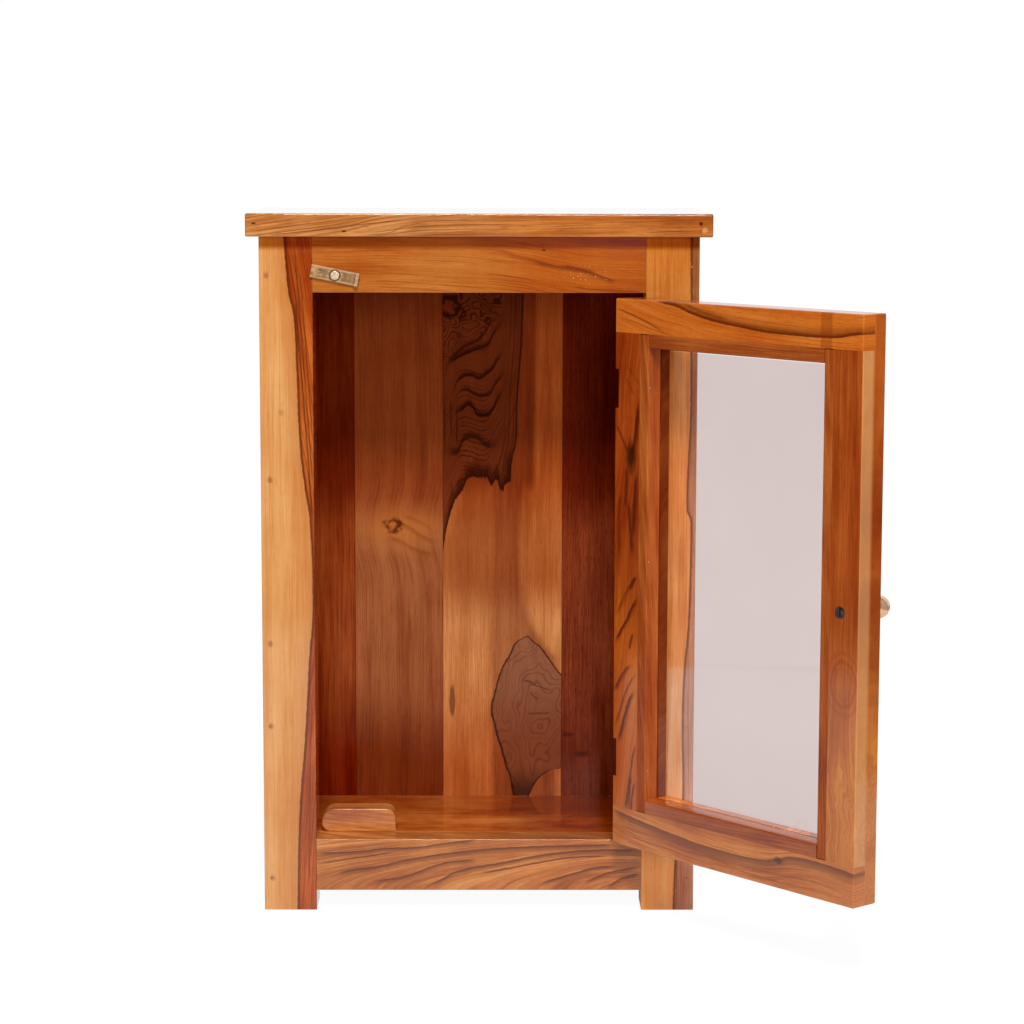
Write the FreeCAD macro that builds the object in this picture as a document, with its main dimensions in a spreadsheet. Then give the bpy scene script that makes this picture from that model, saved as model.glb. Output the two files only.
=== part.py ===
import FreeCAD, Part
import os
import re

# A small free-standing cabinet of solid boards with one inset glass door.
# Millimetres, +X to the viewer's right, +Y towards the back, +Z up.
# The origin is the middle of the front left foot's sole.
# The door is built shut, about its hinge axis, and then swung open.

SIZES = {
    # Body
    "body_width": 362,
    "body_depth": 178,
    "body_height": 567,
    "foot_height": 17,
    "front_post_width": 44,
    "front_post_depth": 40,
    "back_post_width": 33,
    "back_post_depth": 33,
    "top_rail_height": 46,
    "bottom_rail_height": 44,
    "front_rail_thick": 26,
    "back_rail_thick": 25,
    "edge_round": 0.8,
    # Joints between posts and rails
    "tenon_length": 14,
    "tenon_thick": 9,
    "tenon_shoulder": 6,
    "joint_play": 0.1,
    # Top board
    "top_thick": 19,
    "top_side_overhang": 10.2,
    "top_front_overhang": 9.5,
    "top_round": 1.4,
    # Side boards and the nails that hold them
    "side_board_thick": 12,
    "side_rebate_depth": 10,
    "nail_radius": 1.1,
    "nail_length": 48,
    "nail_play": 0.05,
    # Back planks, tongued into each other and grooved into posts and rails
    "plank_thick": 12,
    "plank_setback": 6.5,
    "plank_groove_depth": 8,
    "plank_tongue_length": 4,
    "plank_tongue_thick": 4,
    "plank_gap": 0.4,
    "plank_joint_1_share": 0.1433,
    "plank_joint_2_share": 0.3939,
    "plank_joint_3_share": 0.7327,
    # Floor, its cleats and the cleats under the top
    "floor_thick": 14,
    "cleat_width": 15,
    "cleat_height": 15,
    "cleat_screw_bite": 9,
    "screw_radius": 1.6,
    "screw_head_radius": 3.2,
    "screw_head_depth": 1.9,
    "screw_play": 0.05,
    # Stop block behind the door
    "block_length": 63,
    "block_depth": 21,
    "block_height": 20,
    "block_from_post": 3,
    "block_nose_round": 11.5,
    "block_heel_round": 7.5,
    "block_tail_round": 9,
    "block_edge_round": 1.2,
    # Turn button on the top rail
    "button_length": 40,
    "button_width": 10.7,
    "button_thick": 2.6,
    "button_lip": 3.6,
    "button_lip_rise": 1.1,
    "button_chamfer": 0.7,
    "button_from_post": 18.5,
    "button_drop": 31.7,
    "button_tilt": 11.4,
    "button_clear": 0.3,
    "button_screw_length": 18,
    "button_head_radius": 3.8,
    "button_head_depth": 1.2,
    "button_dimple_depth": 0.7,
    "button_dimple_play": 0.4,
    "button_slot": 0.9,
    # Door
    "door_thick": 25.5,
    "door_hinge_gap": 1,
    "door_free_gap": 2.5,
    "door_bottom_gap": 2.5,
    "door_top_gap": 3,
    "door_open_angle": 130.6,
    "door_round": 1.2,
    "stile_face": 29.3,
    "door_top_rail_face": 27.3,
    "door_bottom_rail_face": 32,
    "lip_thick": 9,
    # Glass and the beads that hold it
    "glass_thick": 3,
    "glass_play": 1,
    "glass_arris": 0.4,
    "side_bead_width": 9.7,
    "end_bead_width": 11.5,
    "bead_gap": 0.7,
    "bead_round": 1.2,
    "bead_pin_radius": 0.8,
    "bead_pin_length": 18,
    "bead_pin_inset": 2.2,
    # Hinges
    "hinge_length": 31,
    "hinge_inset": 73.5,
    "hinge_notch_play": 0.5,
    "leaf_thick": 1.4,
    "leaf_reach": 20,
    "barrel_radius": 2.75,
    "barrel_clear": 0.5,
    "pin_radius": 1.3,
    "pin_play": 0.05,
    "pin_head_radius": 2,
    "pin_head_height": 0.8,
    "knuckle_gap": 0.3,
    "hinge_screw_radius": 1.2,
    "hinge_screw_head_radius": 2.2,
    "hinge_screw_length": 13,
    "hinge_screw_inset": 7,
    # Knob and its screw
    "knob_radius": 9.2,
    "knob_reach": 27,
    "knob_neck_radius": 5,
    "knob_flange_radius": 7,
    "knob_flange_thick": 1.5,
    "knob_inset": 19,
    "knob_screw_radius": 2,
    "knob_screw_bite": 10,
    "knob_screw_head_radius": 5,
    "knob_screw_head_depth": 2.2,
    "knob_screw_slot_width": 1.2,
    "knob_screw_slot_depth": 0.9,
    # Every cut runs this far past the face that it starts from
    "overrun": 2,
}

# Places worked out from the sizes. Those from door_right on are in the shut door's
# own frame, whose Z axis is the hinge axis.
PLACES = {
    "left_face": "-front_post_width / 2",
    "right_face": "left_face + body_width",
    "front_face": "-front_post_depth / 2",
    "back_face": "front_face + body_depth",
    "opening_left": "left_face + front_post_width",
    "opening_right": "right_face - front_post_width",
    "opening_top": "body_height - top_rail_height",
    "floor_top": "foot_height + bottom_rail_height",
    "floor_bottom": "floor_top - floor_thick",
    "front_post_back": "front_face + front_post_depth",
    "back_post_front": "back_face - back_post_depth",
    "back_rail_front": "back_face - back_rail_thick",
    "plank_back": "back_face - plank_setback",
    "plank_front": "plank_back - plank_thick",
    "plank_middle": "plank_back - plank_thick / 2",
    "panel_left": "left_face + back_post_width - plank_groove_depth",
    "panel_right": "right_face - back_post_width + plank_groove_depth",
    "panel_bottom": "floor_bottom - plank_groove_depth",
    "panel_top": "opening_top + plank_groove_depth",
    "side_board_front": "front_post_back - side_rebate_depth",
    "side_board_back": "back_post_front + side_rebate_depth",
    "block_left": "opening_left + block_from_post",
    "block_front": "front_face + front_rail_thick",
    "button_x": "opening_left + button_from_post",
    "button_z": "body_height - button_drop",
    "button_seat": "button_clear + button_thick - button_dimple_depth",
    "button_screw_proud": "button_seat + button_head_depth + screw_play",
    "hinge_x": "opening_right - barrel_radius",
    "hinge_y": "front_face - barrel_radius - barrel_clear",
    "door_bottom": "floor_top + door_bottom_gap",
    "door_top": "opening_top - door_top_gap",
    "lower_hinge_z": "door_bottom + hinge_inset",
    "upper_hinge_z": "door_top - hinge_inset",
    "door_right": "barrel_radius - door_hinge_gap",
    "door_left": "barrel_radius - opening_right + opening_left + door_free_gap",
    "door_front": "barrel_radius + barrel_clear",
    "door_back": "door_front + door_thick",
    "lap_face": "door_front + door_thick / 2",
    "glass_front": "door_front + lip_thick",
    "bead_front": "glass_front + glass_thick",
    "rebate_left": "door_left + stile_face",
    "rebate_right": "door_right - stile_face",
    "rebate_bottom": "door_bottom + door_bottom_rail_face",
    "rebate_top": "door_top - door_top_rail_face",
    "sight_left": "rebate_left + side_bead_width",
    "sight_right": "rebate_right - side_bead_width",
    "sight_bottom": "rebate_bottom + end_bead_width",
    "sight_top": "rebate_top - end_bead_width",
    "knob_x": "door_left + knob_inset",
    "knob_z": "(door_bottom + door_top) / 2",
    "knob_centre": "knob_reach - knob_radius",
    "leaf_end": "barrel_radius + barrel_clear + leaf_reach",
}

# Heights of the side boards' nails, as shares of the body's height
NAIL_HEIGHT_SHARES = {"left": (0.0487, 0.2785, 0.9427), "right": (0.0487, 0.2785, 0.957)}
# Places of the two screws along a cleat, as shares of its length
CLEAT_SCREW_SHARES = (0.2, 0.8)
# Heights of the pins along a side bead, as shares of its length
BEAD_PIN_SHARES = (0.09, 0.53, 0.89)
# Knuckles of a hinge, as shares of its length: the middle one is the door leaf's
KNUCKLE_SHARES = (-0.5, -0.17, 0.17, 0.5)
# Edges closer than this to a face count as lying on it
TOUCH = 0.001

doc = FreeCAD.newDocument("glass_door_cabinet")
sizes = doc.addObject("Spreadsheet::Sheet", "Sizes")
places = doc.addObject("Spreadsheet::Sheet", "Places")
nodes = {}


def formula(text):
    """Turn the names of sizes and places in a formula into references to their cells."""
    def reference(match):
        name = match.group(0)
        if name in SIZES:
            return "Sizes." + name
        return "Places." + name if name in PLACES else name
    return re.sub(r"[a-z][a-z_0-9]*", reference, str(text))


def fill(sheet, entries):
    for row, (name, text) in enumerate(entries.items(), start=1):
        sheet.set(f"A{row}", name)
        sheet.set(f"B{row}", text)
        sheet.setAlias(f"B{row}", name)


def value(name):
    """The number in a cell of either sheet, for what can't be bound to it."""
    return float((sizes if name in SIZES else places).get(name))


def bind(thing, prop, text):
    thing.setExpression(prop, formula(text))


def place(thing, x, y, z):
    for axis, text in zip("xyz", (x, y, z)):
        bind(thing, "Placement.Base." + axis, text)


# Solids and how they are joined

TURNS = {
    "+x": FreeCAD.Rotation(FreeCAD.Vector(0, 1, 0), 90),
    "-x": FreeCAD.Rotation(FreeCAD.Vector(0, 1, 0), -90),
    "+y": FreeCAD.Rotation(FreeCAD.Vector(1, 0, 0), -90),
    "-y": FreeCAD.Rotation(FreeCAD.Vector(1, 0, 0), 90),
    "+z": FreeCAD.Rotation(),
    "-z": FreeCAD.Rotation(FreeCAD.Vector(1, 0, 0), 180),
}


def box(x, y, z):
    """A block between two places along each axis."""
    block = doc.addObject("Part::Box", "Block")
    for size, (low, high) in zip(("Length", "Width", "Height"), (x, y, z)):
        bind(block, size, f"({high}) - ({low})")
    place(block, x[0], y[0], z[0])
    return block


def rod(way, start, length, radius):
    """A cylinder that runs from start in the direction way."""
    cylinder = doc.addObject("Part::Cylinder", "Rod")
    cylinder.Placement.Rotation = TURNS[way]
    bind(cylinder, "Radius", radius)
    bind(cylinder, "Height", length)
    place(cylinder, *start)
    return cylinder


def taper(way, start, length, radius, far_radius):
    """A cone that runs from start in the direction way."""
    cone = doc.addObject("Part::Cone", "Taper")
    cone.Placement.Rotation = TURNS[way]
    bind(cone, "Radius1", radius)
    bind(cone, "Radius2", far_radius)
    bind(cone, "Height", length)
    place(cone, *start)
    return cone


def joined(*solids):
    if len(solids) == 1:
        return solids[0]
    whole = doc.addObject("Part::MultiFuse", "Joined")
    whole.Shapes = list(solids)
    whole.Refine = True
    return whole


def cut(base, *tools):
    remains = doc.addObject("Part::Cut", "Remains")
    remains.Base = base
    remains.Tool = joined(*tools)
    remains.Refine = True
    return remains


def group(solids):
    pieces = doc.addObject("Part::Compound", "Pieces")
    pieces.Links = list(solids)
    return pieces


def corners(bounds, axes):
    """Pick the straight edges along the given axes that lie on two outer faces of bounds."""
    def outer(edge, axis):
        low, high = (getattr(edge.BoundBox, axis + end) for end in ("Min", "Max"))
        ends = [getattr(bounds, axis + end) for end in ("Min", "Max")]
        return high - low < TOUCH and min(abs(low - end) for end in ends) < TOUCH

    def picked(edge):
        return any(all(outer(edge, other) for other in "XYZ" if other != axis) for axis in axes)
    return picked


def ease(base, radius, picked):
    """Round the picked edges of base."""
    doc.recompute()
    rounded = doc.addObject("Part::Fillet", "Eased")
    rounded.Base = base
    size = value(radius)
    edges = enumerate(base.Shape.Edges, start=1)
    rounded.Edges = [(number, size, size) for number, edge in edges if picked(edge)]
    return rounded


def ease_corners(base, radius, axes="XYZ"):
    doc.recompute()
    return ease(base, radius, corners(base.Shape.BoundBox, axes))


def keep(name, piece):
    """Name a finished piece after its node."""
    piece.Label = name
    nodes[name] = piece
    return piece


def hang(name, piece):
    """Keep a piece of the door, swung open about the hinge axis."""
    place(piece, "hinge_x", "hinge_y", 0)
    bind(piece, "Placement.Rotation.Angle", "door_open_angle")
    return keep(name, piece)


def screw(way, start, length, radius, head_radius, head_depth):
    """A countersunk screw whose head's face is at start."""
    return joined(taper(way, start, head_depth, head_radius, radius), rod(way, start, length, radius))


def span(side, low, high):
    """Two places across the cabinet, measured inwards from one side's outer face."""
    if side == "left":
        return f"left_face + {low}", f"left_face + {high}"
    return f"right_face - ({high})", f"right_face - ({low})"


def share_of(low, high, share):
    return f"{low} + ({high} - ({low})) * {share}"


# Cabinet body

def rail_tenon(x, middle_y, z, play="0"):
    """The tongue that runs through a rail and past both its ends, or its mortises."""
    half = f"tenon_thick / 2 + {play}"
    shoulder = f"tenon_shoulder - {play}"
    return box(
        (f"{x[0]} - tenon_length - {play}", f"{x[1]} + tenon_length + {play}"),
        (f"{middle_y} - ({half})", f"{middle_y} + {half}"),
        (f"{z[0]} + {shoulder}", f"{z[1]} - ({shoulder})"),
    )


FRONT_RAIL_X = ("opening_left", "opening_right")
FRONT_RAIL_MIDDLE = "front_face + front_rail_thick / 2"
BACK_RAIL_X = ("left_face + back_post_width", "right_face - back_post_width")
BACK_RAIL_MIDDLE = "back_face - back_rail_thick / 2"
TOP_RAIL_Z = ("opening_top", "body_height")
BOTTOM_FRONT_RAIL_Z = ("foot_height", "floor_top")
BOTTOM_BACK_RAIL_Z = ("foot_height", "floor_bottom")


def plank_groove(x, z):
    return box(x, ("plank_front - joint_play", "plank_back + joint_play"), z)


def nail_places(side):
    x = span(side, "side_board_thick / 2", "side_board_thick / 2")[0]
    for share in NAIL_HEIGHT_SHARES[side]:
        yield "+y", (x, "front_face", f"body_height * {share}")
        yield "-y", (x, "back_face", f"body_height * {share}")


def nail_rods(side, play="0"):
    """The nails of one side board, or with play their holes."""
    length = f"nail_length + {play}"
    return [rod(way, at, length, f"nail_radius + {play}") for way, at in nail_places(side)]


def make_posts(side):
    rebate_x = span(side, "-overrun", "side_board_thick + joint_play")
    board_z = ("foot_height - joint_play", "body_height + overrun")
    front = box(span(side, "0", "front_post_width"), ("front_face", "front_post_back"), ("0", "body_height"))
    front = cut(
        ease_corners(front, "edge_round", "Z"),
        rail_tenon(FRONT_RAIL_X, FRONT_RAIL_MIDDLE, TOP_RAIL_Z, "joint_play"),
        rail_tenon(FRONT_RAIL_X, FRONT_RAIL_MIDDLE, BOTTOM_FRONT_RAIL_Z, "joint_play"),
        box(rebate_x, ("side_board_front - joint_play", "front_post_back + overrun"), board_z),
        *nail_rods(side, "nail_play"),
        *(hinge_screw_holes(z) for z in HINGES.values() if side == "right"),
    )
    keep(f"front_post_{side}", front)
    back = box(span(side, "0", "back_post_width"), ("back_post_front", "back_face"), ("0", "body_height"))
    groove_x = (f"{BACK_RAIL_X[0]} - plank_groove_depth - joint_play",
                f"{BACK_RAIL_X[1]} + plank_groove_depth + joint_play")
    back = cut(
        ease_corners(back, "edge_round", "Z"),
        rail_tenon(BACK_RAIL_X, BACK_RAIL_MIDDLE, TOP_RAIL_Z, "joint_play"),
        rail_tenon(BACK_RAIL_X, BACK_RAIL_MIDDLE, BOTTOM_BACK_RAIL_Z, "joint_play"),
        plank_groove(groove_x, ("panel_bottom - joint_play", "panel_top + joint_play")),
        box(rebate_x, ("back_post_front - overrun", "side_board_back + joint_play"), board_z),
        *nail_rods(side, "nail_play"),
    )
    keep(f"back_post_{side}", back)


def make_front_rails():
    y = ("front_face", "front_face + front_rail_thick")
    for name, z in (("top_front_rail", TOP_RAIL_Z), ("bottom_front_rail", BOTTOM_FRONT_RAIL_Z)):
        board = ease_corners(box(FRONT_RAIL_X, y, z), "edge_round", "X")
        rail = joined(board, rail_tenon(FRONT_RAIL_X, FRONT_RAIL_MIDDLE, z))
        if name == "top_front_rail":
            at = ("button_x", "front_face - overrun", "button_z")
            hole = rod("+y", at, "button_screw_length + overrun", "screw_radius + screw_play")
            rail = cut(rail, hole)
        keep(name, rail)


def make_back_rails():
    y = ("back_rail_front", "back_face")
    board = joined(box(BACK_RAIL_X, y, TOP_RAIL_Z), rail_tenon(BACK_RAIL_X, BACK_RAIL_MIDDLE, TOP_RAIL_Z))
    x = (f"{BACK_RAIL_X[0]} - tenon_length - overrun", f"{BACK_RAIL_X[1]} + tenon_length + overrun")
    groove = plank_groove(x, ("opening_top - overrun", "panel_top + joint_play"))
    keep("top_back_rail", cut(board, groove))
    z = BOTTOM_BACK_RAIL_Z
    board = joined(box(BACK_RAIL_X, y, z), rail_tenon(BACK_RAIL_X, BACK_RAIL_MIDDLE, z))
    groove = plank_groove(x, ("panel_bottom - joint_play", "floor_bottom + overrun"))
    keep("bottom_back_rail", cut(board, groove))


def make_top_board():
    board = box(
        ("left_face - top_side_overhang", "right_face + top_side_overhang"),
        ("front_face - top_front_overhang", "back_face"),
        ("body_height", "body_height + top_thick"),
    )
    holes = [cleat_screw_hole("top", side, share) for side, share in cleat_screw_places()]
    keep("top_board", cut(ease_corners(board, "top_round"), *holes))


def make_side_board(side):
    board = box(span(side, "0", "side_board_thick"), ("side_board_front", "side_board_back"),
                ("foot_height", "body_height"))
    holes = [cleat_screw_hole("floor", at, share) for at, share in cleat_screw_places() if at == side]
    keep(f"side_board_{side}", cut(board, *nail_rods(side, "nail_play"), *holes))


def make_back_planks():
    joints = ["plank_joint_1_share", "plank_joint_2_share", "plank_joint_3_share"]
    shares = ["0", *joints, "1"]
    z = ("panel_bottom", "panel_top")
    for number, (low_share, high_share) in enumerate(zip(shares, shares[1:]), start=1):
        low = share_of("panel_left", "panel_right", low_share)
        high = share_of("panel_left", "panel_right", high_share)
        if low_share in joints:
            low = f"{low} + plank_gap / 2"
        if high_share in joints:
            high = f"{high} - plank_gap / 2"
        plank = box((low, high), ("plank_front", "plank_back"), z)
        if high_share in joints:
            tip = f"{high} + plank_gap + plank_tongue_length"
            plank = joined(plank, plank_tongue((f"{high} - plank_tongue_length", tip), z))
        if low_share in joints:
            groove_x = (f"{low} - overrun", f"{low} + plank_tongue_length + joint_play")
            groove_z = ("panel_bottom - overrun", "panel_top + overrun")
            plank = cut(plank, plank_tongue(groove_x, groove_z, "joint_play"))
        keep(f"back_plank_{number}", plank)


def plank_tongue(x, z, play="0"):
    """A plank's tongue, or with play the groove that takes it."""
    half = f"plank_tongue_thick / 2 + {play}"
    return box(x, (f"plank_middle - ({half})", f"plank_middle + {half}"), z)


def make_floor_board():
    board = box(
        ("left_face + side_board_thick + joint_play", "right_face - side_board_thick - joint_play"),
        ("front_face + front_rail_thick", "plank_front"),
        ("floor_bottom", "floor_top"),
    )
    z = ("floor_bottom - overrun", "floor_top + overrun")
    notches = []
    for side in ("left", "right"):
        front_x = span(side, "0", "front_post_width + joint_play")
        back_x = span(side, "0", "back_post_width + joint_play")
        notches.append(box(front_x, ("front_face", "front_post_back + joint_play"), z))
        notches.append(box(back_x, ("back_post_front - joint_play", "back_face"), z))
    keep("floor_board", cut(board, *notches))


CLEAT_Y = ("front_post_back", "back_post_front")
CLEAT_Z = {"floor": ("floor_bottom - cleat_height", "floor_bottom"),
           "top": ("body_height - cleat_height", "body_height")}


def cleat_screw_places():
    return [(side, share) for side in ("left", "right") for share in CLEAT_SCREW_SHARES]


def cleat_screw_run(cleat, side, share):
    """Direction, head and length of one cleat screw."""
    y = share_of(*CLEAT_Y, share)
    inner = "side_board_thick + cleat_width"
    if cleat == "floor":
        way = "-x" if side == "left" else "+x"
        z = "floor_bottom - cleat_height / 2"
        return way, (span(side, inner, inner)[0], y, z), "cleat_width + cleat_screw_bite"
    middle = "side_board_thick + cleat_width / 2"
    return "+z", (span(side, middle, middle)[0], y, CLEAT_Z["top"][0]), "cleat_height + cleat_screw_bite"


def cleat_screw_hole(cleat, side, share):
    way, at, length = cleat_screw_run(cleat, side, share)
    play = "screw_play"
    return screw(way, at, f"{length} + {play}", f"screw_radius + {play}", f"screw_head_radius + {play}",
                 "screw_head_depth")


def make_cleats():
    for cleat, z in CLEAT_Z.items():
        for side in ("left", "right"):
            batten = box(span(side, "side_board_thick", "side_board_thick + cleat_width"), CLEAT_Y, z)
            holes = [cleat_screw_hole(cleat, side, share) for share in CLEAT_SCREW_SHARES]
            keep(f"{cleat}_cleat_{side}", cut(batten, *holes))
        screws = []
        for side, share in cleat_screw_places():
            way, at, length = cleat_screw_run(cleat, side, share)
            screws.append(screw(way, at, length, "screw_radius", "screw_head_radius", "screw_head_depth"))
        keep(f"{cleat}_cleat_screws", group(screws))


def make_side_board_nails():
    keep("side_board_nails", group(nail_rods("left") + nail_rods("right")))


def make_stop_block():
    block = box(("block_left", "block_left + block_length"), ("block_front", "block_front + block_depth"),
                ("floor_top", "floor_top + block_height"))
    doc.recompute()
    bounds = block.Shape.BoundBox
    radii = {(bounds.XMin, bounds.ZMax): "block_nose_round", (bounds.XMin, bounds.ZMin): "block_heel_round",
             (bounds.XMax, bounds.ZMax): "block_tail_round"}
    for (x, z), radius in radii.items():
        spot = FreeCAD.Vector(x, bounds.Center.y, z)
        block = ease(block, radius, lambda edge: edge.CenterOfMass.distanceToPoint(spot) < TOUCH)
    doc.recompute()
    bounds = block.Shape.BoundBox
    faces = (bounds.YMin, bounds.YMax)
    level = bounds.ZMin

    def rim(edge):
        size = edge.BoundBox
        flat = size.YLength < TOUCH and min(abs(size.YMin - face) for face in faces) < TOUCH
        return flat and size.ZMax - level > TOUCH
    keep("door_stop_block", ease(block, "block_edge_round", rim))


# Turn button: a brass bar with a finger lip, loose on its screw

def make_turn_button():
    half_length = "button_length / 2"
    half_width = "button_width / 2"
    face = "-button_clear - button_thick"
    bar = box((f"-({half_length})", half_length), (face, "-button_clear"), (f"-({half_width})", half_width))
    doc.recompute()
    bounds = bar.Shape.BoundBox

    def front_arris(edge):
        size = edge.BoundBox
        return abs(size.YMax - bounds.YMin) < TOUCH and size.XLength > bounds.ZLength
    bevelled = doc.addObject("Part::Chamfer", "Bevelled")
    bevelled.Base = bar
    bevel = value("button_chamfer")
    edges = enumerate(bar.Shape.Edges, start=1)
    bevelled.Edges = [(number, bevel, bevel) for number, edge in edges if front_arris(edge)]
    lip = box((f"{half_length} - button_lip", half_length), (f"{face} - button_lip_rise", "-button_clear"),
              (f"-({half_width})", half_width))
    bore = ("0", f"{face} - overrun", "0")
    dimple = rod("+y", bore, "button_dimple_depth + overrun", "button_head_radius + button_dimple_play")
    hole = rod("+y", bore, "button_thick + overrun * 2", "screw_radius + screw_play")
    button = cut(joined(bevelled, ease_corners(lip, "button_chamfer", "Z")), dimple, hole)
    button.Placement.Rotation = FreeCAD.Rotation(FreeCAD.Vector(0, 1, 0), 1)
    place(button, "button_x", "front_face", "button_z")
    bind(button, "Placement.Rotation.Angle", "button_tilt")
    keep("turn_button", button)


def make_button_screw():
    start = ("button_x", "front_face - button_screw_proud", "button_z")
    length = "button_screw_proud + button_screw_length - screw_play"
    head = rod("+y", start, "button_head_depth", "button_head_radius")
    doc.recompute()
    face = head.Shape.BoundBox.YMin
    head = ease(head, "button_chamfer", lambda edge: abs(edge.BoundBox.YMax - face) < TOUCH)
    slots = []
    for wide, tall in (("button_head_radius", "button_slot"), ("button_slot", "button_head_radius")):
        slots.append(box((f"button_x - {wide} / 2", f"button_x + {wide} / 2"),
                         (f"{start[1]} - overrun", f"{start[1]} + button_head_depth / 2"),
                         (f"button_z - {tall} / 2", f"button_z + {tall} / 2")))
    keep("turn_button_screw", cut(joined(head, rod("+y", start, length, "screw_radius")), *slots))


# Hinges: two leaves rolled round a pin, shut about their own axis

HINGES = {"lower": "lower_hinge_z", "upper": "upper_hinge_z"}


def knuckle(index, play):
    """The start and the length of one knuckle, longer by play at both ends."""
    low, high = KNUCKLE_SHARES[index:index + 2]
    return f"hinge_length * ({low}) - ({play})", f"hinge_length * ({high} - ({low})) + ({play}) * 2"


def hinge_leaf(way, own, other):
    """A leaf on the side that way points to, with its own knuckles and room for the other's."""
    sign = "" if way == "+x" else "-"
    faces = [f"{sign}(barrel_radius - leaf_thick)", f"{sign}barrel_radius"]
    x = faces if way == "+x" else faces[::-1]
    plate = box(x, ("0", "leaf_end"), ("-hinge_length / 2", "hinge_length / 2"))
    rolls, room = [], []
    for index in own:
        low, length = knuckle(index, "-knuckle_gap / 2")
        rolls.append(rod("+z", ("0", "0", low), length, "barrel_radius"))
    for index in other:
        low, length = knuckle(index, "knuckle_gap / 2")
        room.append(rod("+z", ("0", "0", low), length, "barrel_radius + knuckle_gap"))
    bottom = ("0", "0", "-hinge_length / 2 - overrun")
    bore = rod("+z", bottom, "hinge_length + overrun * 2", "pin_radius + pin_play")
    holes = [leaf_screw(way, "screw_play", z) for z in LEAF_SCREW_HEIGHTS]
    return cut(joined(plate, *rolls), bore, *room, *holes)


LEAF_SCREW_HEIGHTS = ("-hinge_length / 2 + hinge_screw_inset", "hinge_length / 2 - hinge_screw_inset")


def leaf_screw(way, play, z):
    """A screw through a leaf, with its head flush, or with play its hole."""
    x = "barrel_radius - leaf_thick" if way == "+x" else "-(barrel_radius - leaf_thick)"
    start = (x, "leaf_end - leaf_reach / 2", z)
    return screw(way, start, f"hinge_screw_length + {play}", f"hinge_screw_radius + {play}",
                 f"hinge_screw_head_radius + {play}", "leaf_thick")


def hinge_screw_holes(hinge_z):
    """Pilot holes of one hinge in the post."""
    holes = joined(*(leaf_screw("+x", "screw_play", z) for z in LEAF_SCREW_HEIGHTS))
    place(holes, "hinge_x", "hinge_y", hinge_z)
    return holes


def make_hinges():
    post_screws, door_screws = [], []
    for hinge, z in HINGES.items():
        post_leaf = hinge_leaf("+x", (0, 2), (1,))
        place(post_leaf, "hinge_x", "hinge_y", z)
        keep(f"{hinge}_hinge_post_leaf", post_leaf)
        door_leaf = hinge_leaf("-x", (1,), (0, 2))
        hang(f"{hinge}_hinge_door_leaf", door_leaf)
        bind(door_leaf, "Placement.Base.z", z)
        pin = joined(
            rod("+z", ("0", "0", "-hinge_length / 2"), "hinge_length", "pin_radius"),
            rod("+z", ("0", "0", "hinge_length / 2"), "pin_head_height", "pin_head_radius"),
        )
        place(pin, "hinge_x", "hinge_y", z)
        keep(f"{hinge}_hinge_pin", pin)
        for height in LEAF_SCREW_HEIGHTS:
            post_screw = leaf_screw("+x", "0", height)
            place(post_screw, "hinge_x", "hinge_y", z)
            post_screws.append(post_screw)
            door_screw = leaf_screw("-x", "0", height)
            bind(door_screw, "Placement.Base.z", z)
            door_screws.append(door_screw)
    keep("hinge_post_screws", group(post_screws))
    hang("hinge_door_screws", group(door_screws))


# Door: four half-lapped members with a rebate for the glass

DOOR_Y = ("door_front", "door_back")
DOOR_Z = ("door_bottom", "door_top")
FRONT_OF_LAP = ("door_front - overrun", "lap_face")
BEHIND_LAP = ("lap_face", "door_back + overrun")
FRONT_OF_GLASS = ("door_front - overrun", "glass_front")
BEHIND_LIP = ("glass_front", "door_back + overrun")


def door_bounds():
    doc.recompute()
    x, y, z = (tuple(value(name) for name in pair) for pair in (("door_left", "door_right"), DOOR_Y, DOOR_Z))
    return FreeCAD.BoundBox(x[0], y[0], z[0], x[1], y[1], z[1])


def make_stile(name, x, rebate_x, others):
    blank = box(x, DOOR_Y, DOOR_Z)
    past_z = ("door_bottom - overrun", "door_top + overrun")
    wide = (f"{x[0]} - overrun", f"{x[1]} + overrun")
    top_lap = box(wide, BEHIND_LAP, ("rebate_top", past_z[1]))
    bottom_lap = box(wide, BEHIND_LAP, (past_z[0], "rebate_bottom"))
    stile = cut(blank, box(rebate_x, BEHIND_LIP, past_z), top_lap, bottom_lap, *others)
    hang(name, ease(stile, "door_round", corners(door_bounds(), "XYZ")))


def make_stiles():
    notches = []
    notch_x = ("-barrel_radius", "door_right + overrun")
    notch_y = ("door_front - overrun", "door_back + overrun")
    half = "hinge_length / 2 + hinge_notch_play"
    for z in HINGES.values():
        notches.append(box(notch_x, notch_y, (f"{z} - ({half})", f"{z} + {half}")))
        holes = joined(*(leaf_screw("-x", "screw_play", height) for height in LEAF_SCREW_HEIGHTS))
        bind(holes, "Placement.Base.z", z)
        notches.append(holes)
    pin_holes = bead_pins("bead_pin_radius + nail_play", "nail_play")
    make_stile("door_hinge_stile", ("sight_right", "door_right"), ("sight_right - overrun", "rebate_right"),
               [*notches, *pin_holes["hinge"]])
    knob_hole = knob_screw("screw_play")
    make_stile("door_free_stile", ("door_left", "sight_left"), ("rebate_left", "sight_left + overrun"),
               [knob_hole, *pin_holes["free"]])


def make_door_rail(name, z, rebate_z):
    blank = box(("door_left", "door_right"), DOOR_Y, z)
    past_x = ("door_left - overrun", "door_right + overrun")
    past_z = (f"{z[0]} - overrun", f"{z[1]} + overrun")
    rail = cut(
        blank,
        box(past_x, BEHIND_LIP, rebate_z),
        box((past_x[0], "rebate_left"), FRONT_OF_LAP, past_z),
        box(("rebate_right", past_x[1]), FRONT_OF_LAP, past_z),
        box((past_x[0], "sight_left"), FRONT_OF_GLASS, past_z),
        box(("sight_right", past_x[1]), FRONT_OF_GLASS, past_z),
    )
    hang(name, ease(rail, "door_round", corners(door_bounds(), "XYZ")))


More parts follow.
